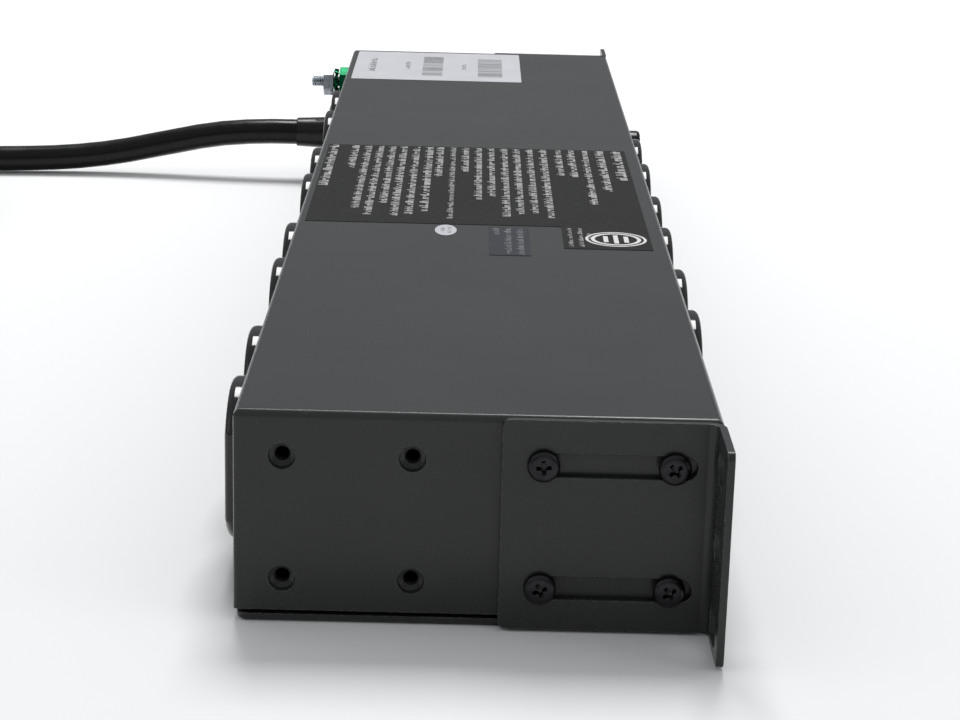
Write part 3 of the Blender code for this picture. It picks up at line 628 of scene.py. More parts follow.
def shaped(name, mesh, look, place=None, body="strip", stands_for=(), corner=32):
    """A piece from a bmesh of its own."""
    return piece(name, mesh_data(name, mesh, look, corner), place, body, stands_for)


def dressed(node, look, rounding, segments):
    """A copy of a CAD node with its flat faces merged and its edges rounded."""
    corner = 30
    mesh = bmesh.new()
    mesh.from_mesh(NODES[node].data)
    bmesh.ops.remove_doubles(mesh, verts=mesh.verts, dist=1e-6)
    bmesh.ops.dissolve_limit(
        mesh, angle_limit=math.radians(0.5), verts=mesh.verts, edges=mesh.edges
    )
    made = shaped(f"{node}_skin", mesh, look, stands_for=(node,), corner=corner)
    bevel = made.modifiers.new("edge", "BEVEL")
    bevel.width = rounding
    bevel.segments = segments
    bevel.limit_method = "ANGLE"
    bevel.angle_limit = math.radians(corner)
    bevel.harden_normals = True
    bevel.use_clamp_overlap = True
    made.modifiers.move(len(made.modifiers) - 1, 0)


# --- supply cord ------------------------------------------------------------------------------

# The centreline from inside the strain relief to the coil, as the CAD model has it.
LEAD_ROUTE = [
    (0.196, 0.058, 0.0172), (0.196, 0.067, 0.0172), (0.1962, 0.082, 0.0169),
    (0.1968, 0.098, 0.0152), (0.1972, 0.116, 0.0114), (0.1968, 0.134, 0.0077),
    (0.1955, 0.152, 0.0057), (0.1938, 0.172, 0.005), (0.192, 0.194, 0.005),
    (0.1905, 0.21, 0.0053), (0.19, 0.225, 0.0058), (0.19, 0.244, 0.0058),
]

# The centreline from the coil to the plug, as radius, angle in degrees and height about the coil.
TAIL_ROUTE = [
    (0.0693, 90, 0.034), (0.0758, 119.6, 0.0335), (0.079, 131, 0.0295), (0.0825, 143, 0.0235),
    (0.0854, 155, 0.0175), (0.0873, 167, 0.0138), (0.0879, 179.6, 0.0126),
]


def around_coil(radius, angle, height):
    """A point by its angle about the coil's axis, in radians."""
    return COIL_CENTRE + Vector((radius * math.cos(angle), radius * math.sin(angle), height))


def coil_line():
    """The centreline of the coil: layers that spiral in and out in turn, one on the other."""
    step = math.radians(10)
    travel = (COLUMNS - 1) * 2 * math.pi
    span = (COLUMNS - 1) * TURN_STEP
    start = 0
    points = []
    for layer in range(LAYERS):
        height = COIL_FIRST_LINE + layer * TURN_STEP
        inward = layer % 2 == 0
        for k in range(round(travel / step)):
            share = k * step / travel
            offset = span * (share if inward else 1 - share)
            points.append(around_coil(COIL_OUTER_LINE - offset, start + k * step, height))
        start += travel
        if layer == LAYERS - 1:
            break
        radius = COIL_OUTER_LINE - (span if inward else 0)
        for k in range(round(RISE_ANGLE / step)):
            share = k * step / RISE_ANGLE
            lift = TURN_STEP * share * share * (3 - 2 * share)
            points.append(around_coil(radius, start + k * step, height + lift))
        start += RISE_ANGLE
    return points


def smooth_route(points, spacing):
    """Evenly spaced points on a Catmull-Rom curve through the given points."""
    given = np.array([tuple(p) for p in points], float)
    ends = np.vstack([2 * given[0] - given[1], given, 2 * given[-1] - given[-2]])
    dense = []
    for a, b, c, d in zip(ends, ends[1:], ends[2:], ends[3:]):
        for t in np.linspace(0, 1, 12, endpoint=False):
            ahead = (c - a) * t + (2 * a - 5 * b + 4 * c - d) * t**2
            dense.append(0.5 * (2 * b + ahead + (3 * b - a - 3 * c + d) * t**3))
    dense = np.array(dense + [given[-1]])
    travelled = np.concatenate([[0], np.cumsum(np.linalg.norm(np.diff(dense, axis=0), axis=1))])
    wanted = np.linspace(0, travelled[-1], round(travelled[-1] / spacing) + 1)
    return np.column_stack([np.interp(wanted, travelled, dense[:, k]) for k in range(3)])


def make_cord():
    """The whole supply cord as one curve, with its pieces."""
    tail = [around_coil(radius, math.radians(angle), z) for radius, angle, z in TAIL_ROUTE]
    inside_plug = PLUG_REAR + Vector((0, -0.006, 0))
    route = smooth_route([*LEAD_ROUTE, *coil_line(), *tail, inside_plug], ROUTE_SPACING)
    curve = bpy.data.curves.new("supply_cord", "CURVE")
    curve.dimensions = "3D"
    curve.bevel_depth = CORD_RADIUS
    curve.bevel_resolution = 5
    curve.use_fill_caps = True
    spline = curve.splines.new("POLY")
    spline.points.add(len(route) - 1)
    for point, position in zip(spline.points, route):
        point.co = (*position, 1)
    spline.use_smooth = True
    curve.materials.append(LOOKS["jacket"])
    made = piece(
        "supply_cord", curve, stands_for=("cord_lead", "cord_coil", "cord_tail")
    )
    carried = [make_relief(), make_tie(), *make_plug()]


def make_relief():
    """The snap-in strain relief: a notched round head and a smooth tapered tail."""
    node = "cord_strain_relief"
    bore = CORD_RADIUS + 0.0002
    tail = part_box(node)[1].y - HALF_DEPTH
    rows = [(bore, tail), (0.0049, tail), (0.00512, tail - 0.0001), (0.0052, tail - 0.0005)]
    rows += [(0.0054, tail - 0.005)]
    rows += [(0.0057, 0.0078), (0.0066, 0.0071), (0.0094, 0.0071), (0.0104, 0.0067)]
    rows += [(0.011, 0.0058), (0.0114, 0.0044), (0.0115, 0.002), (0.0115, 0.0003)]
    rows += [(0.0075, 0.0003), (0.0075, -0.0085), (bore, -0.0085)]
    head = lathe(rows, 64, closed=True)
    notches = [
        moved(block((0.0098, -0.0016, 0.0045), (0.013, 0.0016, 0.009)), Matrix.Rotation(a, 4, "Z"))
        for a in (0, math.pi / 2, math.pi, -math.pi / 2)
    ]
    spot = on_panel(node, REAR, middle(node).z)
    mesh = carve(head, notches)
    return shaped("strain_relief", mesh, "plastic", spot, stands_for=(node,))


def rounded_loop(half_width, half_height, radius, steps=6):
    """The points of a rounded rectangle about the origin."""
    points = []
    for corner, (sx, sy) in enumerate(((1, 1), (-1, 1), (-1, -1), (1, -1))):
        centre = (sx * (half_width - radius), sy * (half_height - radius))
        points += arc(centre, radius, 90 * corner, 90 * corner + 90, steps)
    return points


def make_tie():
    """The strap round one side of the coil, with its overlap on top."""
    low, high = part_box("cord_tie")
    size = (high - low) / 2
    thick = 0.0006
    outer = rounded_loop(size.y, size.z, 0.0035)
    inner = rounded_loop(size.y - thick, size.z - thick, 0.0029)
    mesh = bmesh.new()
    rings = []
    for side in (-size.x, size.x):
        for loop in (outer, inner):
            rings.append([mesh.verts.new((side, y, z)) for y, z in loop])
    left_outer, left_inner, right_outer, right_inner = rings
    count = len(outer)
    order = (left_outer, right_outer, right_inner, left_inner, left_outer)
    for first, second in zip(order, order[1:]):
        for k in range(count):
            n = (k + 1) % count
            mesh.faces.new((first[k], first[n], second[n], second[k]))
    across = size.x - 0.0004
    flap = block((-across, -0.009, size.z), (across, 0.011, size.z + 0.0007), 0.0003)
    place = Matrix.Translation(middle("cord_tie"))
    whole = joined([mesh, flap])
    return shaped("cord_strap", whole, "fabric", place, stands_for=("cord_tie",))


def squircle(half_width, half_height, power=5):
    """A radius by angle for a rounded rectangular section."""

    def radius(angle):
        across = abs(math.cos(angle) / half_width) ** power
        upward = abs(math.sin(angle) / half_height) ** power
        return (across + upward) ** (-1 / power)

    return radius


def make_plug():
    """The moulded three-pin plug: ribbed sleeve, grip with finger grooves, blades and pin."""
    turn = FRONT.to_track_quat("Z", "Y").to_matrix().to_4x4()
    place = Matrix.Translation(PLUG_REAR) @ turn
    rows = [(0, 0.0004), (0.0058, 0.0004), (0.0062, 0.0008)]
    for k in range(4):
        z = 0.0012 + k * 0.002
        r = 0.0064 + 0.0004 * k
        rows += [(r, z), (r, z + 0.0008), (r - 0.0007, z + 0.0011), (r - 0.0007, z + 0.0016)]
    rows += [(0.0082, 0.0095), (squircle(0.0095, 0.0096, 2.6), 0.0115)]
    rows += [(squircle(0.0114, 0.0113, 3.6), 0.0135), (squircle(0.0122, 0.012), 0.0155)]
    grip = 0.0123
    for k in range(4):
        z = 0.0175 + k * 0.0032
        full = squircle(grip + 0.0001, grip - 0.0001)
        slim = squircle(grip - 0.0006, grip - 0.0004)
        rows += [(full, z), (slim, z + 0.0006), (slim, z + 0.0014), (full, z + 0.002)]
    rows += [(squircle(0.0124, 0.0122), 0.0366), (squircle(0.0121, 0.0119), 0.0376)]
    rows += [(squircle(0.0112, 0.011), 0.038), (0, 0.038)]
    body = lathe(rows, 72)
    look, slot, node = "plug_plastic", "black_plastic", "plug_body"
    made = [shaped("plug_moulding", body, look, place, stands_for=(node,), corner=38)]
    for node in ("plug_blade_line", "plug_blade_neutral"):
        low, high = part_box(node)
        centre = middle(node)
        hole = moved(
            lathe([(0, -0.004), (0.0016, -0.004), (0.0016, 0.004), (0, 0.004)], 24),
            Matrix.Translation((centre.x, low.y + 0.0045, centre.z))
            @ Matrix.Rotation(math.radians(90), 4, "Y"),
        )
        mesh = carve(block(low, high, 0.0003), [hole])
        made.append(shaped(f"{node}_bored", mesh, "brass", stands_for=(node,)))
    node = "plug_ground_pin"
    low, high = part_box(node)
    centre = middle(node)
    radius = (high.x - low.x) / 2
    length = high.y - low.y
    pin = [(0, length), (radius * 0.3, length - 0.0001), (radius * 0.65, length - 0.0007)]
    pin += [(radius * 0.9, length - 0.0019), (radius, length - 0.0034), (radius, 0), (0, 0)]
    place = Matrix.Translation((centre.x, high.y, centre.z)) @ turn
    made.append(shaped("ground_pin", lathe(pin, 32), "brass", place, stands_for=(node,)))
    return made


# --- screws -----------------------------------------------------------------------------------


def cross_recess(top, reach, width, depth):
    """The tools of a cross recess: two tapered bars and a middle cone."""
    bars = []
    mouth = top + 0.0004
    for quarter in (0, math.pi / 2):
        bar = block((-reach, -width / 2, top - depth), (reach, width / 2, mouth))
        for vert in bar.verts:
            if vert.co.z < top:
                vert.co.x *= 0.4
                vert.co.y *= 0.7
        bars.append(moved(bar, Matrix.Rotation(quarter, 4, "Z")))
    cone = [(0, mouth), (width * 0.95, mouth), (width * 0.5, top - depth), (0, top - depth * 1.2)]
    return [*bars, lathe(cone, 16)]


def pan_screw():
    """A low round-edged machine screw, origin under its head."""
    rows = [(0, HEAD_RISE), (0.0014, HEAD_RISE - 0.00001), (0.0022, 0.00146), (0.0026, 0.00135)]
    rows += [(0.0029, 0.00116), (0.0031, 0.0009), (0.0032, 0.0006), (0.0032, 0.0001), (0.0031, 0)]
    rows += [(0.0014, 0), (0.0014, -0.0072), (0.001, -0.008), (0, -0.008)]
    return carve(lathe(rows, 48), cross_recess(HEAD_RISE, 0.0018, 0.0009, 0.00105))


def flat_screw():
    """A flat-head screw, origin at the middle of its head."""
    rows = [(0, 0), (0.0028, 0), (0.003, -0.0001), (0.003, -0.0002), (0.0014, -0.0018)]
    rows += [(0.0014, -0.0064), (0.001, -0.007), (0, -0.007)]
    return carve(lathe(rows, 48), cross_recess(0, 0.0016, 0.0007, 0.0011))


def make_screws():
    """The eight ear screws and the four cover screws."""
    data = mesh_data("pan_screw", pan_screw(), "dark_screw")
    for side, outward in (("left", -RIGHT), ("right", RIGHT)):
        for number, angle in enumerate(EAR_SCREW_ANGLES[side], 1):
            node = f"ear_screw_{side}_{number}"
            low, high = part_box(node)
            head_top = high.x if side == "right" else low.x
            centre = middle(node)
            seat = Vector((head_top - outward.x * HEAD_RISE, centre.y, centre.z))
            place = facing(seat, outward) @ Matrix.Rotation(math.radians(angle), 4, "Z")
            piece(f"{node}_head", data, place, stands_for=(node,))
    data = mesh_data("flat_screw", flat_screw(), "dark_screw")
    for number in range(1, 5):
        node = f"cover_screw_{number}"
        spot = Matrix.Translation((*middle(node).xy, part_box(node)[0].z))
        place = spot @ Matrix.Rotation(math.pi, 4, "X") @ Matrix.Rotation(number, 4, "Z")
        piece(f"{node}_head", data, place, stands_for=(node,))


def make_hole_threads():
    """The thread inside each open mounting hole of the end walls."""
    rows = []
    crest, root, wall, pitch = 0.0012, 0.00146, 0.0017, 0.0005
    top, bottom = -0.0019, -0.0034
    z = top
    while z > bottom:
        rows += [(root, z), (crest, z - pitch / 2)]
        z -= pitch
    rows += [(root, bottom), (wall, bottom), (wall, top)]
    data = mesh_data("hole_thread", lathe(rows, 32, closed=True), "dark_screw", 20)
    for side, outward in (("left", -RIGHT), ("right", RIGHT)):
        number = 0
        for z in (MIDDLE + HOLE_GRID / 2, MIDDLE - HOLE_GRID / 2):
            for y in (HOLE_GRID / 2, 1.5 * HOLE_GRID):
                number += 1
                spot = Vector((outward.x * HALF_LENGTH, y, z))
                piece(f"hole_thread_{side}_{number}", data, facing(spot, outward))


# --- receptacles ------------------------------------------------------------------------------


def slot_tool(centre, half_length, half_width, floor):
    """A blade slot with a tapered mouth, long along X."""
    x, y = centre
    low = (x - half_length, y - half_width)
    high = (x + half_length, y + half_width)
    shaft = block((*low, floor), (*high, 0.001 + FACE_PROUD))
    mouth = block((*low, FACE_PROUD - 0.0005), (*high, FACE_PROUD + 0.0001))
    flare = 0.00055
    for vert in mouth.verts:
        if vert.co.z > FACE_PROUD:
            vert.co.x += math.copysign(flare, vert.co.x - x)
            vert.co.y += math.copysign(flare, vert.co.y - y)
    return [shaft, mouth]


def ground_outline(grow=0.0):
    """The D outline of a ground hole."""
    radius = 0.00245 + grow
    edge = GROUND_OFFSET + 0.0019 + grow
    return arc((GROUND_OFFSET, 0), radius, 90, 270, 14) + [(edge, -radius), (edge, radius)]


def face_ring(inset, height):
    """The outline of a receptacle face: a circle with its two ends cut flat."""
    radius, flat = FACE_RADIUS - inset, FACE_FLAT - inset
    turn = math.degrees(math.acos(flat / radius))
    points = arc((0, 0), radius, turn, 180 - turn, 40)
    points += arc((0, 0), radius, 180 + turn, 360 - turn, 40)
    return [(x, y, height) for x, y in points]


def face_mesh(foot):
    """A receptacle face with a rounded rim."""
    rings = [face_ring(0, foot), face_ring(0, FACE_PROUD - FACE_RIM)]
    for step in range(1, RIM_STEPS + 1):
        turn = math.pi / 2 * step / RIM_STEPS
        inset = FACE_RIM * (1 - math.cos(turn))
        rings.append(face_ring(inset, FACE_PROUD - FACE_RIM + FACE_RIM * math.sin(turn)))
    return loft(rings)


def receptacle_mesh():
    """A duplex receptacle: body, two rounded faces and their tapered slots."""
    body = block((-0.0342, -0.015, BODY_BACK), (0.0342, 0.015, SHOULDER), 0.0008, 2)
    faces, tools = [], []
    for shift in (-FACE_PITCH / 2, FACE_PITCH / 2):
        place = Matrix.Translation((shift, 0, 0))
        faces.append(moved(face_mesh(SHOULDER - 0.003), place))
        floor = FACE_PROUD - SLOT_DEPTH
        made = slot_tool((BLADE_OFFSET, BLADE_HALF_PITCH), 0.004, SLOT_WIDTH / 2, floor)
        made += slot_tool((BLADE_OFFSET, -BLADE_HALF_PITCH), 0.0034, SLOT_WIDTH / 2, floor)
        made.append(prism(ground_outline(), floor, FACE_PROUD + 0.001))
        made.append(prism(ground_outline(0.0004), FACE_PROUD - 0.0004, FACE_PROUD + 0.001))
        tools += [moved(tool, place) for tool in made]
    return carve(carve(body, faces, "UNION"), tools)


def contact_mesh():
    """The brass contacts that show inside the slots of one duplex receptacle."""
    leaves = []
    top, bottom = FACE_PROUD - 0.0035, FACE_PROUD - SLOT_DEPTH + 0.0004
    for shift in (-FACE_PITCH / 2, FACE_PITCH / 2):
        for y, half in ((BLADE_HALF_PITCH, 0.0037), (-BLADE_HALF_PITCH, 0.0031)):
            for side in (-1, 1):
                near = y + side * (SLOT_WIDTH / 2 - 0.00005)
                far = y + side * (SLOT_WIDTH / 2 - 0.0004)
                low = (shift + BLADE_OFFSET - half, min(near, far), bottom)
                high = (shift + BLADE_OFFSET + half, max(near, far), top)
                leaves.append(block(low, high, 0.0001, 1))
        ring = [(0.0016, bottom), (0.0021, bottom), (0.0021, top), (0.0016, top)]
        place = Matrix.Translation((shift + GROUND_OFFSET - 0.0002, 0, 0))
        leaves.append(moved(lathe(ring, 24, closed=True), place))
    return joined(leaves)


def make_receptacles():
    """The seven duplex receptacles and their contacts."""
    face = mesh_data("duplex", receptacle_mesh(), "outlet")
    contacts = mesh_data("contacts", contact_mesh(), "brass")
    for row, outward, count in OUTLET_ROWS:
        for number in range(1, count + 1):
            node = f"{row}_duplex_{number}"
            place = on_panel(node, outward)
            piece(f"{node}_moulding", face, place, stands_for=(node,))
            piece(f"{node}_contacts", contacts, place)


# --- front controls ---------------------------------------------------------------------------


def make_switch():
    """The rocker in its bezel. The rocker turns about an upright pin behind the panel."""
    node = "switch_housing"
    low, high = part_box(node)
    place = on_panel(node, FRONT)
    half_x, half_y = (high.x - low.x) / 2, (high.z - low.z) / 2
    bezel = block((-half_x, -half_y, 0.0003), (half_x, half_y, 0.0013))
    round_edges(bezel, lambda a, b: abs(a.z - b.z) > 0.0005, 0.0012, 4)
    round_edges(bezel, lambda a, b: min(a.z, b.z) > 0.00125, 0.0005, 3)
    shaft = block((-0.013, -0.0064, -0.021), (0.013, 0.0064, 0.0008))
    pocket = block((-0.0113, -0.0048, -0.0086), (0.0113, 0.0048, 0.003))
    housing = carve(carve(shaft, [bezel], "UNION"), [pocket])
    shaped("switch_bezel", housing, "plastic", place, stands_for=(node,))

    reach, half_width, end_rise, dip, fall = 0.0109, 0.0045, 0.0052, 0.0036, 0.003
    outline = []
    steps = 20
    for k in range(steps + 1):
        x = reach * math.cos(math.asin(end_rise / reach)) * (1 - 2 * k / steps)
        share = abs(x) / reach
        outline.append((x, dip + (end_rise - dip) * share**1.4))
    low_angle = math.degrees(math.asin(fall / reach))
    high_angle = math.degrees(math.asin(end_rise / reach))
    outline += arc((0, 0), reach, 180 - high_angle, 180 + low_angle, 6)[1:]
    outline += arc((0, 0), reach, -low_angle, high_angle, 6)[:-1]
    paddle = prism(outline, -half_width, half_width)
    edge = half_width - 1e-6
    round_edges(paddle, lambda a, b: min(abs(a.z), abs(b.z)) > edge and a.z * b.z > 0, 0.0004, 3)
    pivot = place @ Matrix.Translation((0, 0, -0.0026)) @ Matrix.Rotation(math.radians(6), 4, "Y")
    lay = Matrix.Rotation(math.radians(90), 4, "X")
    name, stands_for = "rocker_paddle", ("switch_rocker",)
    shaped(name, paddle, "plastic", pivot @ lay, "rocker", stands_for, 40)
    bar = block((-0.0061, -0.0014, 0.00415), (-0.0055, 0.0014, 0.00445), 0.0001, 1)
    ring_rows = [(0.0011, 0.0041), (0.0016, 0.0041), (0.0016, 0.00445), (0.0011, 0.00445)]
    ring = moved(lathe(ring_rows, 32, closed=True), Matrix.Translation((0.0058, 0, 0)))
    shaped("rocker_marks", joined([bar, ring]), "mark_ink", pivot, "rocker")


def hexagon(across_flats):
    """A radius by angle for a hexagonal section."""

    def radius(angle):
        sixth = math.pi / 3
        return across_flats / 2 / math.cos((angle + sixth / 2) % sixth - sixth / 2)

    return radius


def chamfered(shape, limit):
    """A radius by angle, cut back to a circle."""
    return lambda angle: min(shape(angle), limit)


def nut_mesh(corner, bore, bottom, top):
    """A hexagonal nut with chamfered corners and a countersunk bore."""
    shape = hexagon(corner * math.sqrt(3))
    inner = corner * 0.93
    drop = (corner - inner) * 0.6
    rows = [(bore + 0.0003, bottom), (chamfered(shape, inner), bottom)]
    rows += [(chamfered(shape, (inner + corner) / 2), bottom + drop / 2), (shape, bottom + drop)]
    rows += [(shape, top - drop), (chamfered(shape, (inner + corner) / 2), top - drop / 2)]
    rows += [(chamfered(shape, inner), top), (bore + 0.0003, top), (bore, top - 0.0003)]
    rows += [(bore, bottom + 0.0003)]
    return lathe(rows, 72, closed=True)


def threaded_rod(crest, depth, pitch, bottom, top, segments=32):
    """A rod with a helical thread and tapered ends."""
    rows = [(0, bottom)]
    count = round((top - bottom) / (pitch / 6))
    for k in range(count + 1):
        z = bottom + (top - bottom) * k / count
        rows.append((thread_radius(crest, depth, pitch, z, min(z - bottom, top - z)), z))
    rows.append((0, top))
    return lathe(rows, segments)


def thread_radius(crest, depth, pitch, z, from_end):
    """The radius by angle of a helical thread at one height."""

    def radius(angle):
        phase = (z / pitch - angle / (2 * math.pi)) % 1
        wave = abs(2 * phase - 1)
        taper = max(0, 1 - from_end / (0.6 * pitch)) * depth
        return crest - depth * wave - taper

    return radius


def make_breaker():
    """The push-to-reset breaker: threaded bush, ring nut and domed button."""
    place = on_panel("breaker_body", FRONT)
    case = block((-0.0075, -0.012, -0.03), (0.0075, 0.012, -0.0016), 0.0006)
    bush = threaded_rod(0.0047, 0.0003, 0.0008, -0.003, 0.0036, 40)
    bore = lathe([(0, -0.006), (0.0031, -0.006), (0.0031, 0.005), (0, 0.005)], 32)
    body = carve(carve(case, [bush], "UNION"), [bore])
    shaped("breaker_case", body, "plastic", place, stands_for=("breaker_body",))
    nut = nut_mesh(0.0073, 0.005, 0.0003, 0.0027)
    shaped("breaker_ring", nut, "zinc", place, stands_for=("breaker_nut",))
    rows = [(0, 0.0089), (0.0016, 0.00892), (0.0028, 0.009), (0.0036, 0.0092), (0.0044, 0.00915)]
    rows += [(0.005, 0.0089), (0.0054, 0.0084), (0.0055, 0.0078), (0.0055, 0.0046)]
    rows += [(0.0053, 0.0042), (0.0051, 0.0041), (0.0028, 0.0041), (0.0028, -0.005), (0, -0.005)]
    cap = lathe(rows, 56)
    shaped("reset_cap", cap, "plastic", place, "reset", ("reset_button",))


def make_lenses():
    """The two indicator lenses."""
    for node, look, slot in (
        ("power_lens", "green_lens", "lens_green"),
        ("surge_lens", "amber_lens", "lens_amber"),
    ):
        low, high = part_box(node)
        r = (high.x - low.x) / 2
        rise = 0.0016
        rows = [(0, rise)]
        rows += [(r * math.sin(a), rise * math.cos(a)) for a in np.linspace(0.15, 1.45, 9)]
        rows += [(r, 0), (r, -0.006), (0, -0.006)]
        place = on_panel(node, FRONT)
        shaped(f"{node}_dome", lathe(rows, 40), look, place, stands_for=(node,))


# --- ground stud ------------------------------------------------------------------------------


def make_ground():
    """The threaded stud with its green nut, toothed washer and hex nut."""
    node = "ground_stud"
    place = on_panel(node, REAR, middle(node).z)
    foot, tip = -0.0016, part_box(node)[1].y - HALF_DEPTH
    stud = threaded_rod(0.0019, 0.00028, 0.0007, foot, tip)
    head = lathe([(0, -0.004), (0.0042, -0.004), (0.0044, -0.0038), (0.0044, foot), (0, foot)])
    whole = carve(stud, [head], "UNION")
    shaped("stud_thread", whole, "zinc", place, "strip", (node,), 50)
    spin = place @ Matrix.Rotation(math.radians(8), 4, "Z")
    bore, teeth = 0.0022, 12
    nut = nut_mesh(0.0053, bore, 0.0003, 0.0037)
    shaped("green_nut", nut, "green", spin, stands_for=("ground_green_nut",))
    nut = nut_mesh(0.005, bore, 0.006, 0.0095)
    shaped("stud_nut", nut, "zinc", spin, stands_for=("ground_hex_nut",))

    def tooth(angle):
        wave = math.cos(angle * teeth)
        return 0.00415 + 0.00055 * max(-1, min(1, 2.2 * wave))

    def twist(level):
        return lambda angle: level + 0.0004 * math.sin(angle * teeth)

    rows = [(bore, 0.00455), (0.0034, 0.0045), (tooth, twist(0.0045))]
    rows += [(tooth, twist(0.0053)), (0.0034, 0.0053), (bore, 0.00525)]
    washer = lathe(rows, 144, closed=True)
    node = "ground_star_washer"
    shaped("toothed_washer", washer, "green", place, "strip", (node,), 25)


# --- labels -----------------------------------------------------------------------------------


def sheet_label(name, outline, look):
    """A thin film on the top face, by its outline in the frame's X and Y."""
    under = TOP + LABEL_LIFT
    shaped(name, prism(outline, under, under + LABEL_THICK), look)


def rounded_box(low, high, radius=0.0008):
    """A rectangle with rounded corners, in X and Y."""
    half_x, half_y = (high[0] - low[0]) / 2, (high[1] - low[1]) / 2
    across, along = (low[0] + high[0]) / 2, (low[1] + high[1]) / 2
    return [(across + x, along + y) for x, y in rounded_loop(half_x, half_y, radius, 4)]


def add_box(mesh, low, high):
    """Adds a plain box between two corners to a bmesh."""
    x, y, z = zip(low, high)
    corners = [mesh.verts.new((x[i], y[j], z[k])) for i in (0, 1) for j in (0, 1) for k in (0, 1)]
    for face in ("0132", "4675", "0451", "2376", "0264", "1573"):
        mesh.faces.new([corners[int(k)] for k in face])


def greeked_line(mesh, picks, start, end, y, height):
    """Adds upright strokes that stand for one line of print, along -X from start to end."""
    x = start
    word = picks.randint(4, 14)
    while x > end:
        width = picks.choice((0.11, 0.13, 0.13, 0.22)) * height
        foot, rise = picks.choice(((0.0, 0.7), (0.0, 0.7), (0.35, 0.35), (0.0, 0.3), (0.0, 1.0)))
        base = y - height / 2 + foot * height
        high = (x, base + rise * height, PRINT_LEVEL + INK_THICK)
        add_box(mesh, (x - width, base, PRINT_LEVEL), high)
        x -= width + picks.choice((0.00026, 0.00026, 0.0004))
        word -= 1
        if word == 0:
            x -= 0.0008
            word = picks.randint(4, 14)


def barcode(mesh, picks, x, last, low, high):
    """Adds bars from x to last along X, between two values of Y."""
    while x < last:
        end = min(x + picks.choice((0.0004, 0.0004, 0.0008, 0.0012)), last)
        add_box(mesh, (x, low, PRINT_LEVEL), (end, high, PRINT_LEVEL + INK_THICK))
        x = end + picks.choice((0.0004, 0.0004, 0.0008, 0.0011))


def add_print(name, picks, look, lines, strips=()):
    """One piece for a label's print: its bar strips, then its lines."""
    marks = bmesh.new()
    for strip in strips:
        barcode(marks, picks, *strip)
    for line in lines:
        greeked_line(marks, picks, *line)
    shaped(name, marks, look)


# Print on the dark label: distance of each line from the rear edge, its length and its height.
DARK_LINES = (
    (0.0018, 0.057, 0.0027), (0.0082, 0.033, 0.0022), (0.012, 0.084, 0.0022),
    (0.0156, 0.091, 0.0022), (0.0192, 0.077, 0.0022), (0.0226, 0.092, 0.0022),
    (0.0264, 0.09, 0.0022), (0.0303, 0.086, 0.0024), (0.0335, 0.041, 0.0022),
    (0.0374, 0.094, 0.0016), (0.041, 0.034, 0.0022), (0.0448, 0.07, 0.0022),
    (0.0485, 0.066, 0.0022), (0.0524, 0.09, 0.0022), (0.0561, 0.087, 0.0022),
    (0.0599, 0.085, 0.0022), (0.0639, 0.091, 0.0024), (0.0684, 0.037, 0.0022),
    (0.0722, 0.038, 0.0024), (0.0763, 0.073, 0.0022), (0.0809, 0.056, 0.0026),
    (0.0858, 0.041, 0.003),
)

# Other print, each line as start, end, Y and height, and each strip as start, end and two Ys.
CORNER_LINES = (
    (-0.0632, -0.083, -0.023, 0.0012),
    (-0.0632, -0.083, -0.0257, 0.0012),
    (-0.0685, -0.078, -0.0277, 0.001),
)
WHITE_LINES = (
    (0.2027, 0.1744, 0.0388, 0.0026),
    (0.1959, 0.1806, 0.0263, 0.0022),
    (0.1933, 0.1821, 0.006, 0.002),
)
WHITE_STRIPS = ((0.1676, 0.2089, 0.0134, 0.0206), (0.1664, 0.2055, -0.0079, 0.0008))
SLATE_LINES = (
    (-0.065, -0.0725, -0.0041, 0.0018),
    (-0.065, -0.092, -0.0071, 0.0018),
    (-0.065, -0.0925, -0.0102, 0.0018),
)
OVAL_LINES = ((-0.0656, -0.0713, 0.0096, 0.0012), (-0.0651, -0.0718, 0.0079, 0.0012))


def make_dark_label():
    """The dark rating label with lines of print, and the corner that holds a ring mark."""
    far, near, tab_near = 0.0397, -0.0616, -0.0852
    rear, front, tab_rear = 0.0453, -0.0434, -0.0211
    outline = [(far, front), (far, rear), (near, rear), (near, tab_rear)]
    outline += [(tab_near, tab_rear), (tab_near, front)]
    sheet_label("dark_label", outline, "dark_film")
    start = far - 0.0012
    lines = [(start, start - length, rear - down, height) for down, length, height in DARK_LINES]
    picks = random.Random(4)
    add_print("dark_label_print", picks, "light_ink", (*lines, *CORNER_LINES))
    marks = []
    for outer, inner in ((0.0078, 0.0071), (0.0064, 0.0054)):
        rows = [(inner, 0), (outer, 0), (outer, INK_THICK), (inner, INK_THICK)]
        marks.append(lathe(rows, 64, closed=True))
    for y, half in ((-0.0026, 0.0032), (0, 0.0044), (0.0026, 0.0032)):
        marks.append(block((-half, y - 0.0006, 0), (half, y + 0.0006, INK_THICK)))
    place = Matrix.Translation((-0.0744, -0.0346, PRINT_LEVEL))
    shaped("ring_mark", joined(marks), "mark_ink", place)


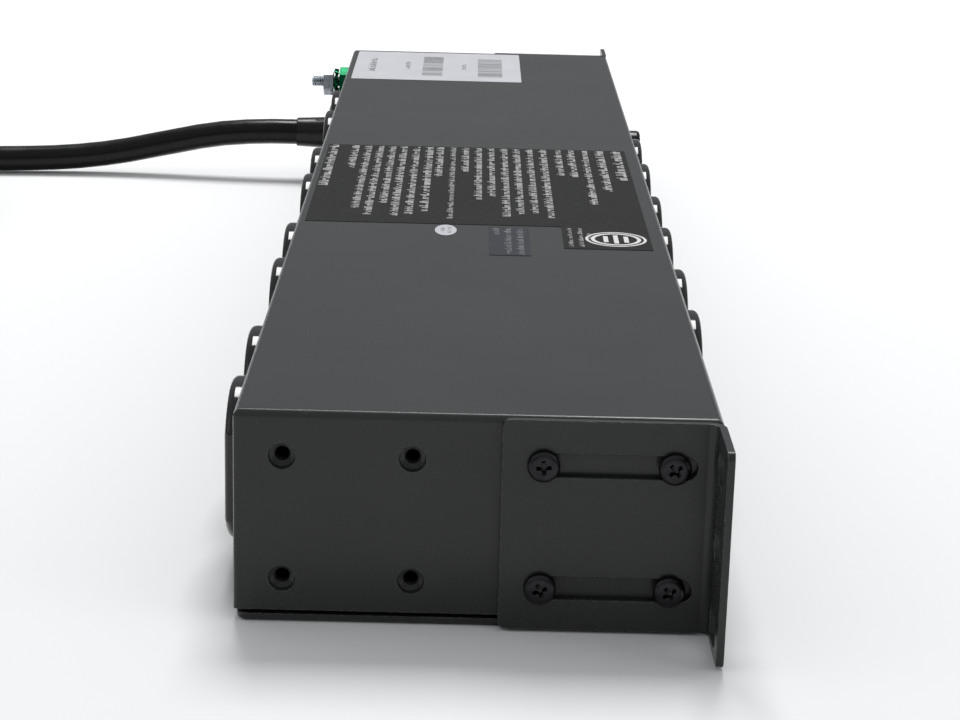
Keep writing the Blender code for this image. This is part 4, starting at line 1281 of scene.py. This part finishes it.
def make_white_label():
    """The white label with two bar strips and short lines of print."""
    outline = rounded_box((0.1575, -0.0145), (0.2179, 0.0451))
    sheet_label("white_label", outline, "white_film")
    picks = random.Random(9)
    add_print("white_label_print", picks, "dark_ink", WHITE_LINES, WHITE_STRIPS)


def make_small_labels():
    """The slate label and the white oval sticker beside the dark label."""
    outline = rounded_box((-0.0938, -0.0127), (-0.0637, -0.0023), 0.0005)
    sheet_label("slate_label", outline, "slate_film")
    picks = random.Random(3)
    add_print("slate_label_print", picks, "dark_ink", SLATE_LINES)
    middle_x, middle_y, half_x, half_y = -0.0685, 0.0087, 0.0058, 0.0028
    turns = np.linspace(0, 2 * math.pi, 48, endpoint=False)
    oval = [(middle_x + half_x * math.cos(a), middle_y + half_y * math.sin(a)) for a in turns]
    sheet_label("oval_sticker", oval, "white_film")
    add_print("oval_sticker_print", picks, "dark_ink", OVAL_LINES)


# --- sheet parts and inner parts ----------------------------------------------------------------


# The looks of the inner parts that keep their CAD nodes. The straps are added in make_case.
INNER_LOOKS = {
    "surge_board": "board",
    "varistor_1": "epoxy",
    "varistor_2": "epoxy",
    "varistor_3": "epoxy",
    "filter_choke": "winding",
    "thermal_fuse": "zinc",
    "wire_line": "jacket",
    "wire_neutral": "white_wire",
    "wire_ground": "green_wire",
}


def make_case():
    """The sheet parts with rounded edges, and the inner parts repainted."""
    dressed("top_shell", "paint", 0.00012, 1)
    dressed("bottom_cover", "paint", 0.00012, 1)
    for node in ("ear_left", "ear_right"):
        dressed(node, "ear_paint", 0.0002, 2)
    looks = dict(INNER_LOOKS)
    for row, _, count in OUTLET_ROWS:
        looks.update({f"{row}_strap_{number}": "zinc" for number in range(1, count + 1)})
    for node, look in looks.items():
        for slot in NODES[node].material_slots:
            slot.material = LOOKS[look]


LOOKS = make_looks()
make_camera()
make_cord()
make_studio()
make_case()
make_screws()
make_hole_threads()
make_receptacles()
make_switch()
make_breaker()
make_lenses()
make_ground()
make_dark_label()
make_white_label()
make_small_labels()
